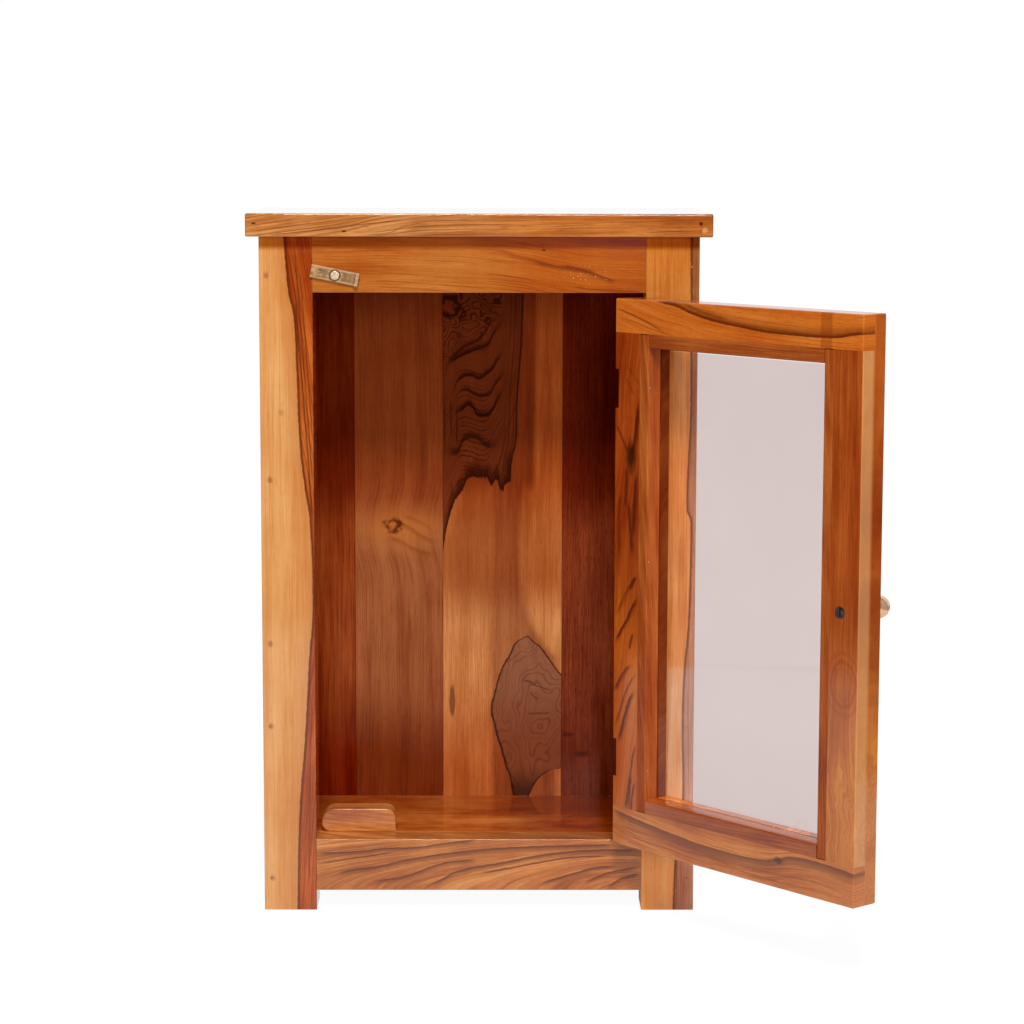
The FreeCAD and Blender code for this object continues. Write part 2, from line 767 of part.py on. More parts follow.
def make_door_rails():
    top_rebate = ("sight_top - overrun", "rebate_top")
    make_door_rail("door_top_rail", ("sight_top", "door_top"), top_rebate)
    bottom_rebate = ("rebate_bottom", "sight_bottom + overrun")
    make_door_rail("door_bottom_rail", ("door_bottom", "sight_bottom"), bottom_rebate)


def make_glass():
    pane = box(("rebate_left + glass_play", "rebate_right - glass_play"), ("glass_front", "bead_front"),
               ("rebate_bottom + glass_play", "rebate_top - glass_play"))
    hang("door_glass", ease_corners(pane, "glass_arris"))


def bead_pins(radius, extra):
    """Pins through the side beads into the stiles, by bead, or their holes."""
    y = "door_back - bead_pin_inset"
    starts = {"free": ("-x", "sight_left"), "hinge": ("+x", "sight_right")}
    pins = {}
    for bead, (way, x) in starts.items():
        heights = [share_of("rebate_bottom", "rebate_top", share) for share in BEAD_PIN_SHARES]
        pins[bead] = [rod(way, (x, y, z), f"bead_pin_length + {extra}", radius) for z in heights]
    return pins


def make_beads():
    y = ("bead_front", "door_back")
    upright_z = ("rebate_bottom + bead_gap", "rebate_top - bead_gap")
    level_x = ("sight_left + bead_gap / 2", "sight_right - bead_gap / 2")
    holes = bead_pins("bead_pin_radius + nail_play", "nail_play")
    beads = {
        "free": (("rebate_left", "sight_left"), upright_z, "X", "sight_left"),
        "hinge": (("sight_right", "rebate_right"), upright_z, "X", "sight_right"),
        "top": (level_x, ("sight_top", "rebate_top"), "Z", "sight_top"),
        "bottom": (level_x, ("rebate_bottom", "sight_bottom"), "Z", "sight_bottom"),
    }
    for name, (x, z, axis, sight) in beads.items():
        strip = box(x, y, z)
        doc.recompute()
        places_of = {"Y": value("door_back"), axis: value(sight)}

        def arris(edge):
            size = edge.BoundBox
            return all(abs(getattr(size, at + end) - where) < TOUCH
                       for at, where in places_of.items() for end in ("Min", "Max"))
        strip = ease(strip, "bead_round", arris)
        if name in holes:
            strip = cut(strip, *holes[name])
        hang(f"bead_{name}", strip)
    pins = bead_pins("bead_pin_radius", "0")
    hang("bead_pins", group(pins["free"] + pins["hinge"]))


# Knob and the screw that holds it from inside the door

def knob_screw(play):
    """The knob's screw, or with play the hole that it needs."""
    start = ("knob_x", "door_back", "knob_z")
    length = f"door_thick + knob_screw_bite + {play}"
    return screw("-y", start, length, f"knob_screw_radius + {play}", f"knob_screw_head_radius + {play}",
                 "knob_screw_head_depth")


def make_knob():
    foot = ("knob_x", "door_front", "knob_z")
    ball = doc.addObject("Part::Sphere", "Ball")
    bind(ball, "Radius", "knob_radius")
    place(ball, "knob_x", "door_front - knob_centre", "knob_z")
    neck = rod("-y", foot, "knob_centre", "knob_neck_radius")
    flange = rod("-y", foot, "knob_flange_thick", "knob_flange_radius")
    start = ("knob_x", "door_front + overrun", "knob_z")
    bore = rod("-y", start, "overrun + knob_screw_bite + screw_play", "knob_screw_radius + screw_play")
    hang("door_knob", cut(joined(ball, neck, flange), bore))
    slot = box(("knob_x - knob_screw_slot_width / 2", "knob_x + knob_screw_slot_width / 2"),
               ("door_back - knob_screw_slot_depth", "door_back + overrun"),
               ("knob_z - knob_screw_head_radius", "knob_z + knob_screw_head_radius"))
    hang("door_knob_screw", cut(knob_screw("0"), slot))


# Build every piece, check it and write it out

fill(sizes, {name: str(size) for name, size in SIZES.items()})
fill(places, {name: "=" + formula(text) for name, text in PLACES.items()})
doc.recompute()

for side in ("left", "right"):
    make_posts(side)
    make_side_board(side)
make_front_rails()
make_back_rails()
make_top_board()
make_back_planks()
make_floor_board()
make_cleats()
make_side_board_nails()
make_stop_block()
make_turn_button()
make_button_screw()
make_hinges()
make_stiles()
make_door_rails()
make_glass()
make_beads()
make_knob()
doc.recompute()

for thing in doc.Objects:
    if "Invalid" in thing.State or "Error" in thing.State:
        raise RuntimeError(f"{thing.Label} could not be computed: {thing.State}")
os.makedirs("parts", exist_ok=True)
for name, piece in nodes.items():
    if piece.Shape.isNull() or not piece.Shape.isValid():
        raise RuntimeError(f"{name} has no valid shape")
    piece.Shape.exportStep(f"parts/{name}.step")
print(f"{len(nodes)} pieces written")
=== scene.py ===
"""A small glass-door cabinet of oiled hardwood: finishes, brass fittings, studio light and camera."""

import math

import bpy
from mathutils import Matrix, Vector

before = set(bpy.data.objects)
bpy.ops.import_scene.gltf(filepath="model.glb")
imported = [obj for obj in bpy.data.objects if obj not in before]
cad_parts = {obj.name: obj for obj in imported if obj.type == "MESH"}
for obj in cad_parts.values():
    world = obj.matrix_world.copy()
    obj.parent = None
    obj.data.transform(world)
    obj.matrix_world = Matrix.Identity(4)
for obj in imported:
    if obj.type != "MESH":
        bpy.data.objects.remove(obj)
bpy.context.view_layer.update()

# Two sets of measuring axes: the cabinet's, centred on its front posts, and the open door's, at its hinges
CABINET = ((0.159, -0.020, 0.0), 0.0)
DOOR = ((0.29325, -0.02325, 0.0), math.radians(130.6))

# Tones of the wood, light to dark, as linear colours
SAP = ((0.86, 0.44, 0.165), (0.79, 0.35, 0.105), (0.68, 0.25, 0.055))
AMBER = ((0.74, 0.28, 0.06), (0.65, 0.205, 0.03), (0.52, 0.12, 0.012))
HONEY = ((0.76, 0.34, 0.105), (0.58, 0.220, 0.062), (0.41, 0.120, 0.026))
SAND = ((0.84, 0.38, 0.130), (0.69, 0.270, 0.085), (0.54, 0.175, 0.042))
ORANGE = ((0.60, 0.20, 0.042), (0.52, 0.135, 0.020), (0.40, 0.070, 0.006))
BISCUIT = ((0.74, 0.30, 0.080), (0.56, 0.180, 0.038), (0.38, 0.095, 0.020))
TAN = ((0.48, 0.180, 0.055), (0.39, 0.130, 0.038), (0.29, 0.080, 0.020))
RED = ((0.54, 0.14, 0.026), (0.40, 0.080, 0.012), (0.27, 0.036, 0.003))
BROWN = ((0.44, 0.140, 0.045), (0.37, 0.107, 0.033), (0.27, 0.065, 0.017))
MAROON = ((0.41, 0.095, 0.019), (0.32, 0.056, 0.009), (0.20, 0.024, 0.002))
GLOSSY = ((0.90, 0.32, 0.075), (0.66, 0.165, 0.023), (0.38, 0.052, 0.004))
PLUM = ((0.34, 0.065, 0.020), (0.26, 0.042, 0.010), (0.17, 0.020, 0.003))
RUSSET = (0.22, 0.032, 0.003)
UMBER = (0.11, 0.017, 0.003)
SEPIA = (0.17, 0.042, 0.014)
INK = (0.042, 0.008, 0.003)
DUST = (0.80, 0.68, 0.55)
# The studio's backdrop, as it looks through the pane
BACKDROP = (0.90, 0.86, 0.855)
WHITE = (1.0, 1.0, 1.0)
MM = 0.001

# How deep the grain's relief is, in metres
RELIEF = 0.0002
# Depths in the door's boards between which the rebate ends and the inner face begins
INNER_FACE = (0.0265, 0.0280)
# The turn button's middle on its rail, in metres, and its tilt
BUTTON_X, BUTTON_Z = -0.1185, 0.5353
BUTTON_TILT = math.radians(11.4)
# The studio floor's middle and width, in metres
FLOOR_MIDDLE = (0.159, 0.07, 0.0)
FLOOR_WIDTH = 60.0
# What the lamps are aimed at, how wide they are and how far off, in metres
LAMP_AIM = (0.17, 0.02, 0.28)
LAMP_SIZE = 0.9
LAMP_DISTANCE = 4.0
# The camera's place in metres, its sensor and lens in millimetres, and its pitch, yaw and roll in degrees
CAMERA_PLACE = (0.173371, -2.353973, 0.650937)
CAMERA_SENSOR = 36.0
CAMERA_LENS = 99.72
CAMERA_TURNS = (7.6021, -0.3162, -0.1121)


class Amount:
    """A number that varies over a surface. Arithmetic on it adds Math nodes to its finish."""

    def __init__(self, finish, socket):
        self.finish = finish
        self.socket = socket

    def __add__(self, other):
        return self.finish.work("ADD", self, other)

    def __sub__(self, other):
        return self.finish.work("SUBTRACT", self, other)

    def __rsub__(self, other):
        return self.finish.work("SUBTRACT", other, self)

    def __mul__(self, other):
        return self.finish.work("MULTIPLY", self, other)

    def __truediv__(self, other):
        return self.finish.work("DIVIDE", self, other)

    __radd__ = __add__
    __rmul__ = __mul__

    def root(self):
        return self.finish.work("SQRT", self)

    def part(self):
        return self.finish.work("FRACT", self)

    def size(self):
        return self.finish.work("ABSOLUTE", self)

    def least(self, other):
        return self.finish.work("MINIMUM", self, other)

    def most(self, other):
        return self.finish.work("MAXIMUM", self, other)


class Nodes:
    """A node tree in the making."""

    def __init__(self, holder):
        holder.use_nodes = True
        self.tree = holder.node_tree
        self.tree.nodes.clear()

    def put(self, kind, sockets, **settings):
        node = self.tree.nodes.new("ShaderNode" + kind)
        for key, setting in settings.items():
            setattr(node, key, setting)
        for key, value in sockets.items():
            self.feed(node.inputs[key], value)
        return node

    def feed(self, socket, value):
        value = getattr(value, "socket", value)
        if isinstance(value, bpy.types.NodeSocket):
            self.tree.links.new(value, socket)
        elif socket.type == "RGBA":
            socket.default_value = (*value, 1.0)
        else:
            socket.default_value = value

    def work(self, operation, *terms):
        node = self.put("Math", dict(enumerate(terms)), operation=operation)
        return Amount(self, node.outputs[0])

    def step(self, value, start, end, kind="SMOOTHSTEP"):
        """0 up to start, 1 from end on, and smooth between."""
        sockets = {"Value": value, "From Min": start, "From Max": end}
        node = self.put("MapRange", sockets, interpolation_type=kind)
        return Amount(self, node.outputs[0])

    def band(self, value, rise, fall):
        """0, then 1 between a rise and a fall, then 0 again. Each of the two has a start and an end."""
        return self.step(value, *rise) * (1.0 - self.step(value, *fall))

    def near(self, value, place, close, far):
        """1 within close of a place, and 0 from far on."""
        return 1.0 - self.step((value - place).size(), close, far)

    def rays(self):
        """How a surface is met: in a reflection, through the pane, and through it or directly."""
        path = self.put("LightPath", {}).outputs
        mirror = Amount(self, path["Is Glossy Ray"])
        through = path["Is Transmission Ray"]
        return mirror, through, Amount(self, path["Is Camera Ray"]).most(through)

    def curve(self, value, points):
        """A smooth line drawn through points in millimetres."""
        first, last = points[0][0], points[-1][0]
        heights = [height for _, height in points]
        lowest = min(heights)
        rise = max(max(heights) - lowest, MM)
        share = self.step(value, first * MM, last * MM, "LINEAR")
        node = self.put("FloatCurve", {"Value": share})
        line = node.mapping.curves[0]
        drawn = [((place - first) / (last - first), (height - lowest) / rise) for place, height in points]
        line.points[0].location = drawn[0]
        line.points[1].location = drawn[-1]
        for spot in drawn[1:-1]:
            line.points.new(*spot)
        node.mapping.update()
        return Amount(self, node.outputs[0]) * (rise * MM) + lowest * MM

    def noise(self, across, along=0.0, third=0.0, detail=2.0, roughness=0.5):
        where = self.put("CombineXYZ", {0: across, 1: along, 2: third}).outputs[0]
        sockets = {"Vector": where, "Scale": 1.0, "Detail": detail, "Roughness": roughness}
        return Amount(self, self.put("TexNoise", sockets).outputs[0])

    def mix(self, share, first, second):
        node = self.put("Mix", {0: share, 6: first, 7: second}, data_type="RGBA")
        return node.outputs[2]

    def times(self, colour, tint):
        return self.put("VectorMath", {0: colour, 1: tint}, operation="MULTIPLY").outputs[0]

    def ramp(self, value, stops):
        node = self.put("ValToRGB", {0: value})
        bar = node.color_ramp.elements
        bar[0].position, bar[1].position = stops[0][0], stops[-1][0]
        bar[0].color, bar[1].color = (*stops[0][1], 1.0), (*stops[-1][1], 1.0)
        for place, colour in stops[1:-1]:
            bar.new(place).color = (*colour, 1.0)
        return node.outputs[0]


class Finish(Nodes):
    """A material in the making, with coordinates in metres on the axes it is given."""

    def __init__(self, name, axes=CABINET):
        self.material = bpy.data.materials.new(name)
        super().__init__(self.material)
        place, turn = axes
        own = self.put("TexCoord", {}).outputs["Object"]
        sockets = {"Vector": own, "Location": place, "Rotation": (0.0, 0.0, turn)}
        placed = self.put("Mapping", sockets, vector_type="TEXTURE").outputs[0]
        parts = self.put("SeparateXYZ", {0: placed}).outputs
        self.x, self.y, self.z = (Amount(self, part) for part in parts)

    def cloud(self, grain, detail=2.0):
        """Noise that is the same in all directions, with lumps of about that grain."""
        return self.noise(self.x / grain, self.y / grain, self.z / grain, detail)

    def surface(self, sockets, height, depth=RELIEF):
        """Closes the finish, with a relief of that height over its surface."""
        bump = self.put("Bump", {"Strength": 0.6, "Distance": depth, "Height": height})
        shader = self.put("BsdfPrincipled", {**sockets, "Normal": bump.outputs[0]})
        self.put("OutputMaterial", {"Surface": shader.outputs[0]})
        return self.material


class Wood(Finish):
    """The finish of one board, whose grain runs along one axis and shows across another."""

    def __init__(self, name, along, across, axes=CABINET, seed=0.0):
        super().__init__(name, axes)
        self.seed = seed
        depth = ({"x", "y", "z"} - {along, across}).pop()
        self.along = getattr(self, along)
        self.across = getattr(self, across)
        self.depth = getattr(self, depth)

    def waver(self, detail, reach, long=0.07, wide=0.05):
        """A slow random drift of up to half of reach to each side."""
        drift = self.noise(self.across / wide, self.along / long, self.depth / wide + self.seed, detail)
        return (drift - 0.5) * (2.0 * reach)

    def rings(self, heart, lean=(0.0, 0.0), flow=None, wobble=0.0012):
        """Distance from the tree's heart in metres, which is the same all along a growth line."""
        side = self.across - heart[0] - self.along * lean[0] + self.waver(2.0, wobble)
        if flow:
            side = side - self.curve(self.along, flow)
        deep = self.depth - heart[1] - self.along * lean[1]
        return (side * side + deep * deep).root()

    def bands(self, field, width, reach, turn=0.0):
        """Uneven bands that follow the growth lines."""
        return self.noise(field / width, self.along / reach, self.seed + turn, 3.0, 0.6)

    def lines(self, field, gap, uneven=1.0, sharp=0.10, faint=0.36):
        """Dark growth lines, sharp on one side and fading on the other, now stronger and now weaker."""
        drift = self.noise(field / (gap * 3.0), self.along / 0.4, self.seed + 31.0, 1.0)
        turn = (field / gap + drift * (3.0 * uneven)).part()
        fading = 1.0 - self.step(turn, 0.0, sharp * 2.5)
        rising = self.step(turn, 1.0 - sharp * 0.6, 1.0)
        weight = self.noise(field / (gap * 1.7), self.along / 0.12, self.seed + 57.0, 1.0)
        return fading.most(rising) * self.step(weight, faint, faint + 0.3)

    def pores(self):
        """Short dark dashes along the grain."""
        dash = self.noise(self.across / 0.0006, self.along / 0.008, self.depth / 0.0006 + self.seed, 2.0)
        return self.step(dash, 0.52, 0.72)

    def figure(self, field, tones, line, gap=0.004, line_share=0.6, fine=0.0009, broad=0.012, spread=1.5,
               pore_share=0.3, faint=0.36):
        """Broad and fine bands of three tones, with growth lines and pores over them."""
        wide = self.bands(field, broad, 0.25)
        thin = self.bands(field, fine, 0.05, 11.0)
        cloud = self.noise(self.across / 0.035, self.along / 0.06, self.depth / 0.035 + self.seed, 3.0)
        self.tone = (wide * 0.42 + thin * 0.34 + cloud * 0.24 - 0.5) * spread + 0.5
        colour = self.ramp(self.tone, [(0.36, tones[0]), (0.5, tones[1]), (0.64, tones[2])])
        self.line = self.lines(field, gap, faint=faint)
        colour = self.mix(self.line * line_share, colour, line)
        self.pore = self.pores()
        return self.mix(self.pore * pore_share, colour, line)

    def spot(self, along, across, length, width, soft=0.35, ragged=0.25):
        """1 inside an oval mark, placed in millimetres, and 0 outside it."""
        return 1.0 - self.step(self.oval(along, across, length, width, ragged), 1.0 - soft, 1.0 + soft)

    def oval(self, along, across, length, width, ragged):
        """Distance from an oval's middle, 1 on its edge."""
        far = (self.along - along * MM) / (length * MM)
        wide = (self.across - across * MM) / (width * MM)
        rag = self.noise(far * 1.3, wide * 1.3, self.seed + 5.0)
        return (far * far + wide * wide).root() + (rag - 0.5) * (2.0 * ragged)

    def streak(self, points, width, tail, shift=0.0, over=False):
        """1 on a line drawn along the grain, or over it, and fading at its ends.

        It is sharp on one side. It fades over tail below it, or above it where tail is negative.
        """
        run, rise = (self.across, self.along) if over else (self.along, self.across)
        off = rise - self.curve(run, points) + shift
        first, last = points[0][0] * MM, points[-1][0] * MM
        fade = min((last - first) * 0.2, 0.012)
        ends = self.band(run, (first, first + fade), (last - fade, last))
        above, below = (width * MM, tail * MM) if tail > 0 else (-tail * MM, width * MM)
        return self.band(off, (-below, 0.0), (0.0, above)) * ends

    def draw(self, colour, strokes, ink, over=False, rag=0.0005):
        """Lays strokes over the colour. Each has points, a sharp width, a soft tail and a strength."""
        ragged = self.waver(3.0, rag, 0.006, 0.006)
        for points, width, tail, share in strokes:
            colour = self.mix(self.streak(points, width, tail, ragged, over) * share, colour, ink)
        return colour

    def past(self, edge):
        """Distance across the grain beyond an edge drawn along it, a little ragged."""
        rag = (self.noise(self.along / 0.004, self.across / 0.004, 9.0, 3.0) - 0.5) * 0.0012
        return self.across - self.curve(self.along, edge) + rag

    def deepen(self, colour, start, end, tint):
        """The colour times tint from end on along the board, and as it was up to start."""
        return self.mix(self.step(self.along, start * MM, end * MM), colour, self.times(colour, tint))

    def shade_under_top(self, colour):
        """The colour, deeper and redder just under the top board."""
        return self.mix(self.step(self.z, 0.555, 0.5595), colour, self.times(colour, (0.84, 0.55, 0.14)))

    def oil(self, colour, varnish=0.9, blur=0.12, relief=1.0, tint=WHITE):
        """Closes the finish as varnished wood, with roughness and relief from its grain."""
        height = self.tone * 0.25 - self.pore * 0.6 - self.line * 0.06
        roughness = self.tone * 0.10 + self.pore * 0.12 + 0.35
        wood = {"Base Color": self.times(colour, tint), "Roughness": roughness, "Specular IOR Level": 0.0}
        coat = {"Coat Weight": varnish, "Coat Roughness": blur, "Coat IOR": 1.5}
        return self.surface({**wood, **coat}, height, RELIEF * relief)


def dress(material, *nodes):
    """Gives the material to the named nodes."""
    for node in nodes:
        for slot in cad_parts[node].material_slots:
            slot.material = material


def plain_board(name, along, across, seed, tones=HONEY, axes=CABINET, varnish=0.9):
    """Plain grain, for a board without a figure of its own."""
    wood = Wood(name, along, across, axes, seed)
    field = wood.rings((0.02, 0.16), lean=(0.02, 0.05))
    return wood.oil(wood.figure(field, tones, RUSSET), varnish)


def top_board_wood():
    """Streaked honey brown with nail holes and a crack, and painted white glare where the eye skims it."""
    wood = Wood("top board wood", "x", "z", seed=2.0)
    slope = [(-190, -22.5), (-150, -17), (-115, -12), (-60, -2), (-30, 0), (50, 1), (190, 3)]
    field = wood.rings((0.46, 0.10), flow=slope, wobble=0.0008)
    colour = wood.figure(field, HONEY, SEPIA, gap=0.0024, line_share=0.85, broad=0.006)
    colour = wood.deepen(colour, -60, -120, (1.10, 1.13, 1.06))
    colour = wood.deepen(colour, -40, 60, (0.90, 0.70, 0.46))
    pale = wood.streak([(-115, 568), (-90, 569.5), (-70, 571.5), (-52, 574.5)], 1.5, 2.5)
    colour = wood.mix(pale * 0.7, colour, SAP[1])
    veins = [([(-188, 571), (-160, 575), (-120, 580), (-85, 584)], 0.4, 1.2, 0.7),
             ([(-176, 568), (-130, 573), (-95, 577.5), (-60, 581)], 0.4, 1.4, 0.75),
             ([(-95, 568.5), (-72, 571), (-64, 575), (-42, 579)], 0.4, 1.0, 0.7),
             ([(55, 575.5), (80, 577), (98, 578)], 0.4, 0.9, 0.6),
             ([(135, 571), (165, 572.4), (172, 573)], 0.4, 0.9, 0.7)]
    colour = wood.draw(colour, veins, SEPIA)
    nail_holes = ((-184.2, 577.9, 1.8, 0.7), (-110.4, 571.6, 1.8, 0.8), (181, 578.2, 1.4, 1.5))
    for along, across, length, width in nail_holes:
        colour = wood.mix(wood.spot(along, across, length, width) * 0.9, colour, INK)
    crack = [(568, 183), (572, 181), (575, 182), (579, 181)]
    colour = wood.draw(colour, [(crack, 0.4, 0.8, 0.7)], UMBER, over=True)
    colour = wood.mix(wood.spot(184.2, 572.6, 2.2, 2.2, 0.6, 0.7) * 0.6, colour, SAP[0])
    # Painted reflection: the colour turns white where the top is seen at a grazing angle.
    grazing_glare = wood.put("LayerWeight", {"Blend": 0.5}).outputs["Facing"]
    colour = wood.mix(wood.step(grazing_glare, 0.90, 0.965), colour, WHITE)
    return wood.oil(colour, 1.0, 0.02)


def left_post_wood():
    """Pale sapwood beside a wedge of streaked red heartwood."""
    wood = Wood("left post wood", "z", "x", seed=4.0)
    edge = [(0, -153.5), (85, -151), (141, -146.5), (216, -141.9), (272, -138.7), (328, -140.5),
            (358, -144.4), (405, -149), (445, -150.3), (496, -152.2), (523, -157.1), (568, -160.6)]
    fan = [(0, -22), (150, -12), (300, 0), (430, -17), (568, -38)]
    field = wood.rings((-0.40, 0.02), flow=fan)
    red = wood.times(wood.figure(field, RED, UMBER, gap=0.0034, line_share=0.75), (1.16, 1.02, 0.72))
    field = wood.rings((-0.40, 0.02))
    pale = wood.figure(field, SAP, AMBER[2], gap=0.005, line_share=0.3, spread=1.2, pore_share=0.16)
    off = wood.past(edge)
    colour = wood.mix(wood.step(off, -0.0006, 0.0008), pale, red)
    warm = wood.band(off, (-0.016, 0.0), (0.0, 0.0005))
    colour = wood.mix(warm * 0.45, colour, AMBER[2])
    border = wood.band(off, (-0.0005, 0.0004), (0.0008, 0.0032))
    colour = wood.mix(border * 0.85, colour, UMBER)
    runs = [([(330, -138), (380, -141), (450, -146), (520, -151)], 0.5, 2.0, 0.8),
            ([(360, -137.5), (420, -141.5), (500, -147), (566, -152)], 0.4, 1.6, 0.7),
            ([(400, -137.5), (470, -142), (540, -147)], 0.4, 1.4, 0.65),
            ([(20, -143), (100, -142), (180, -139.5)], 0.4, 1.5, 0.6)]
    colour = wood.draw(colour, runs, UMBER)
    nail_marks = ((535, -175, 0.5), (422, -163.7, 0.35), (366, -173.3, 0.6), (228, -174.3, 0.6),
                  (158, -174.2, 0.5), (27.4, -174, 0.45))
    for along, across, share in nail_marks:
        colour = wood.mix(wood.spot(along, across, 2.4, 2.0, 0.6, 0.4) * share, colour, BROWN[2])
    return wood.oil(wood.shade_under_top(colour))


def right_post_wood():
    """Amber beside a brown margin, with painted light where the open door shades it."""
    wood = Wood("right post wood", "z", "x", seed=7.0)
    edge = [(0, 164), (40, 165), (100, 172), (164, 171), (266, 176), (331, 176.5), (344, 173), (386, 174),
            (428, 175.4), (524, 173.8), (568, 173.4)]
    field = wood.rings((0.45, 0.02))
    pale = wood.figure(field, AMBER, RED[1], gap=0.005, line_share=0.35, spread=1.3)
    brown = wood.figure(field, TAN, RUSSET)
    off = wood.past(edge)
    colour = wood.mix(wood.step(off, -0.0008, 0.001), pale, brown)
    border = wood.band(off, (-0.0006, 0.0004), (0.0008, 0.0026))
    colour = wood.mix(border * 0.8, colour, UMBER)
    # Painted light: below the door's top rail the post is brightened against the open door's shadow, a
    # little less from 300 mm down, and bluer below 200 mm as a painted haze; the foot is lighter.
    colour = wood.deepen(colour, 505, 480, (1.55, 2.0, 2.9))
    colour = wood.deepen(colour, 400, 300, (0.78, 0.82, 0.95))
    colour = wood.deepen(colour, 212, 200, (0.94, 1.08, 1.45))
    colour = wood.deepen(colour, 130, 70, (1.45, 1.19, 1.05))
    return wood.oil(wood.shade_under_top(colour), 0.12)


def top_rail_wood():
    """Orange with fine lines that sink to the right, flames beside a small knot, and specks of dust."""
    wood = Wood("top front rail wood", "x", "z", seed=9.0)
    flow = [(-140, 0), (-20, -2), (30, -6), (70, -13), (100, -17), (140, -18)]
    field = wood.rings((0.90, 0.03), flow=flow)
    colour = wood.figure(field, ORANGE, RED[2], gap=0.0034, spread=1.2, faint=0.40)
    colour = wood.times(colour, (1.04, 1.18, 1.12))
    colour = wood.deepen(colour, -40, 70, (0.86, 0.58, 0.16))
    flames = [([(10, 556.5), (22, 554.6), (32.6, 550.8), (45.5, 548), (60, 545)], 1.5, 5.0, 0.45),
              ([(40, 549), (55.7, 544.7), (72.4, 541.7), (84, 539.9), (98, 535.6), (116, 529.2)],
               1.2, 4.5, 0.9),
              ([(66, 544), (84, 540.5), (98, 537)], 2.2, 3.5, 0.85),
              ([(72.5, 527.9), (85, 525.3), (111, 523.4), (138, 522.6)], 0.6, 2.0, 0.8),
              ([(0, 538), (26, 534.8), (52, 529.1), (74, 524.7)], 0.4, 1.4, 0.5),
              ([(0, 531.6), (26, 529.1), (52, 524)], 0.4, 1.2, 0.5),
              ([(-92, 539), (-42, 535.4), (0, 532.9)], 0.4, 1.3, 0.45),
              ([(-90, 531.5), (-40, 528.5), (10, 524)], 0.4, 1.2, 0.45),
              ([(-90, 526.5), (-60, 525), (-20, 522)], 0.4, 1.2, 0.5),
              ([(110, 541), (126, 537.5), (139, 535)], 0.3, 1.0, 0.45),
              ([(100, 533), (120, 530.5), (139, 528.5)], 0.3, 1.0, 0.5),
              ([(126, 549.5), (132, 552.5), (138, 555.5)], 0.3, 1.0, 0.5)]
    colour = wood.draw(colour, flames, RUSSET)
    colour = wood.mix(wood.spot(53, 556, 1.7, 0.8) * 0.85, colour, INK)
    speck = wood.noise(wood.along / 0.0012, wood.across / 0.0012, 17.0, 0.0)
    dusty = wood.spot(86, 536, 22, 8, 0.6) * wood.step(speck, 0.74, 0.80)
    colour = wood.mix(dusty * 0.7, colour, DUST)
    return wood.oil(wood.shade_under_top(colour))


def bottom_rail_wood():
    """Grain that rises from the lower edge and levels out, as in a board cut across its arches."""
    wood = Wood("bottom front rail wood", "x", "z", seed=12.0)
    droop = wood.curve(wood.along, [(-140, 0), (90, 0), (115, 2), (140, 6)])
    rise = (wood.across - 0.014 + droop) / 0.0029
    field = (wood.along - rise * rise * MM + wood.depth * 2.5 + wood.waver(2.0, 0.012)) / 8.0
    colour = wood.figure(field, BISCUIT, SEPIA, gap=0.0022, line_share=0.55, broad=0.006)
    arches = [([(-139, 48.9), (-98, 50.8), (-79, 53.2), (-58, 53.7), (-31, 57.1), (0, 60.9)], 5.0),
              ([(-139, 39), (-110, 44.2), (-90, 47), (-68, 50.8)], 1.2),
              ([(-122, 25), (-118, 31.4), (-107, 34.7), (-88, 37.1), (-61, 43.2), (-17, 50), (15, 53.2),
                (61, 55.1), (116, 56.5)], 6.0),
              ([(-92, 22.3), (-82, 25.8), (-69, 27.5), (-49, 33.7), (-38, 38), (-27, 40.9), (0, 43.4)],
               5.0),
              ([(-46, 20), (-30, 27.1), (-22, 31.8), (-8, 36.1), (22, 41.3), (45, 46.1), (67, 49.4),
                (89, 51.3), (136, 51.8)], 5.0),
              ([(0, 31), (25, 36), (50, 41), (80, 45.5), (110, 46.5)], 1.5),
              ([(48, 20.5), (56, 24.2), (65, 27.1), (76, 30.4), (86, 33.3), (99, 36.6), (119, 38)], 5.0),
              ([(87, 22), (95, 26.6), (102, 29.5), (111, 32.8), (125, 35.6), (136, 37.1)], 4.5),
              ([(107, 18.6), (115, 24.2), (121, 27.5), (126, 29), (136, 32.3)], 5.0)]
    ragged = wood.waver(3.0, 0.0006, 0.006, 0.006)
    for points, tail in arches:
        colour = wood.mix(wood.streak(points, 0.9, tail, ragged) * 0.8, colour, SEPIA)
        colour = wood.mix(wood.streak(points, 0.6, 1.3, ragged) * 0.6, colour, UMBER)
    colour = wood.deepen(colour, -10, 50, (0.93, 0.85, 0.81))
    return wood.oil(colour)


def back_plank(wood, colour, top_shade, foot):
    """Closes a back plank with painted shade: its colour is multiplied by one tint under the top and by
    another near the floor.
    """
    colour = wood.deepen(colour, 292, 348, top_shade)
    colour = wood.deepen(colour, 185, 95, foot)
    return wood.oil(colour, 0.08)


def plank_a_wood():
    """Even dark maroon."""
    wood = Wood("first back plank wood", "z", "x", seed=15.0)
    field = wood.rings((-0.30, 0.10))
    colour = wood.figure(field, MAROON, PLUM[2], gap=0.0045, line_share=0.5)
    return back_plank(wood, colour, (0.57, 0.29, 0.16), (0.56, 0.22, 0.11))


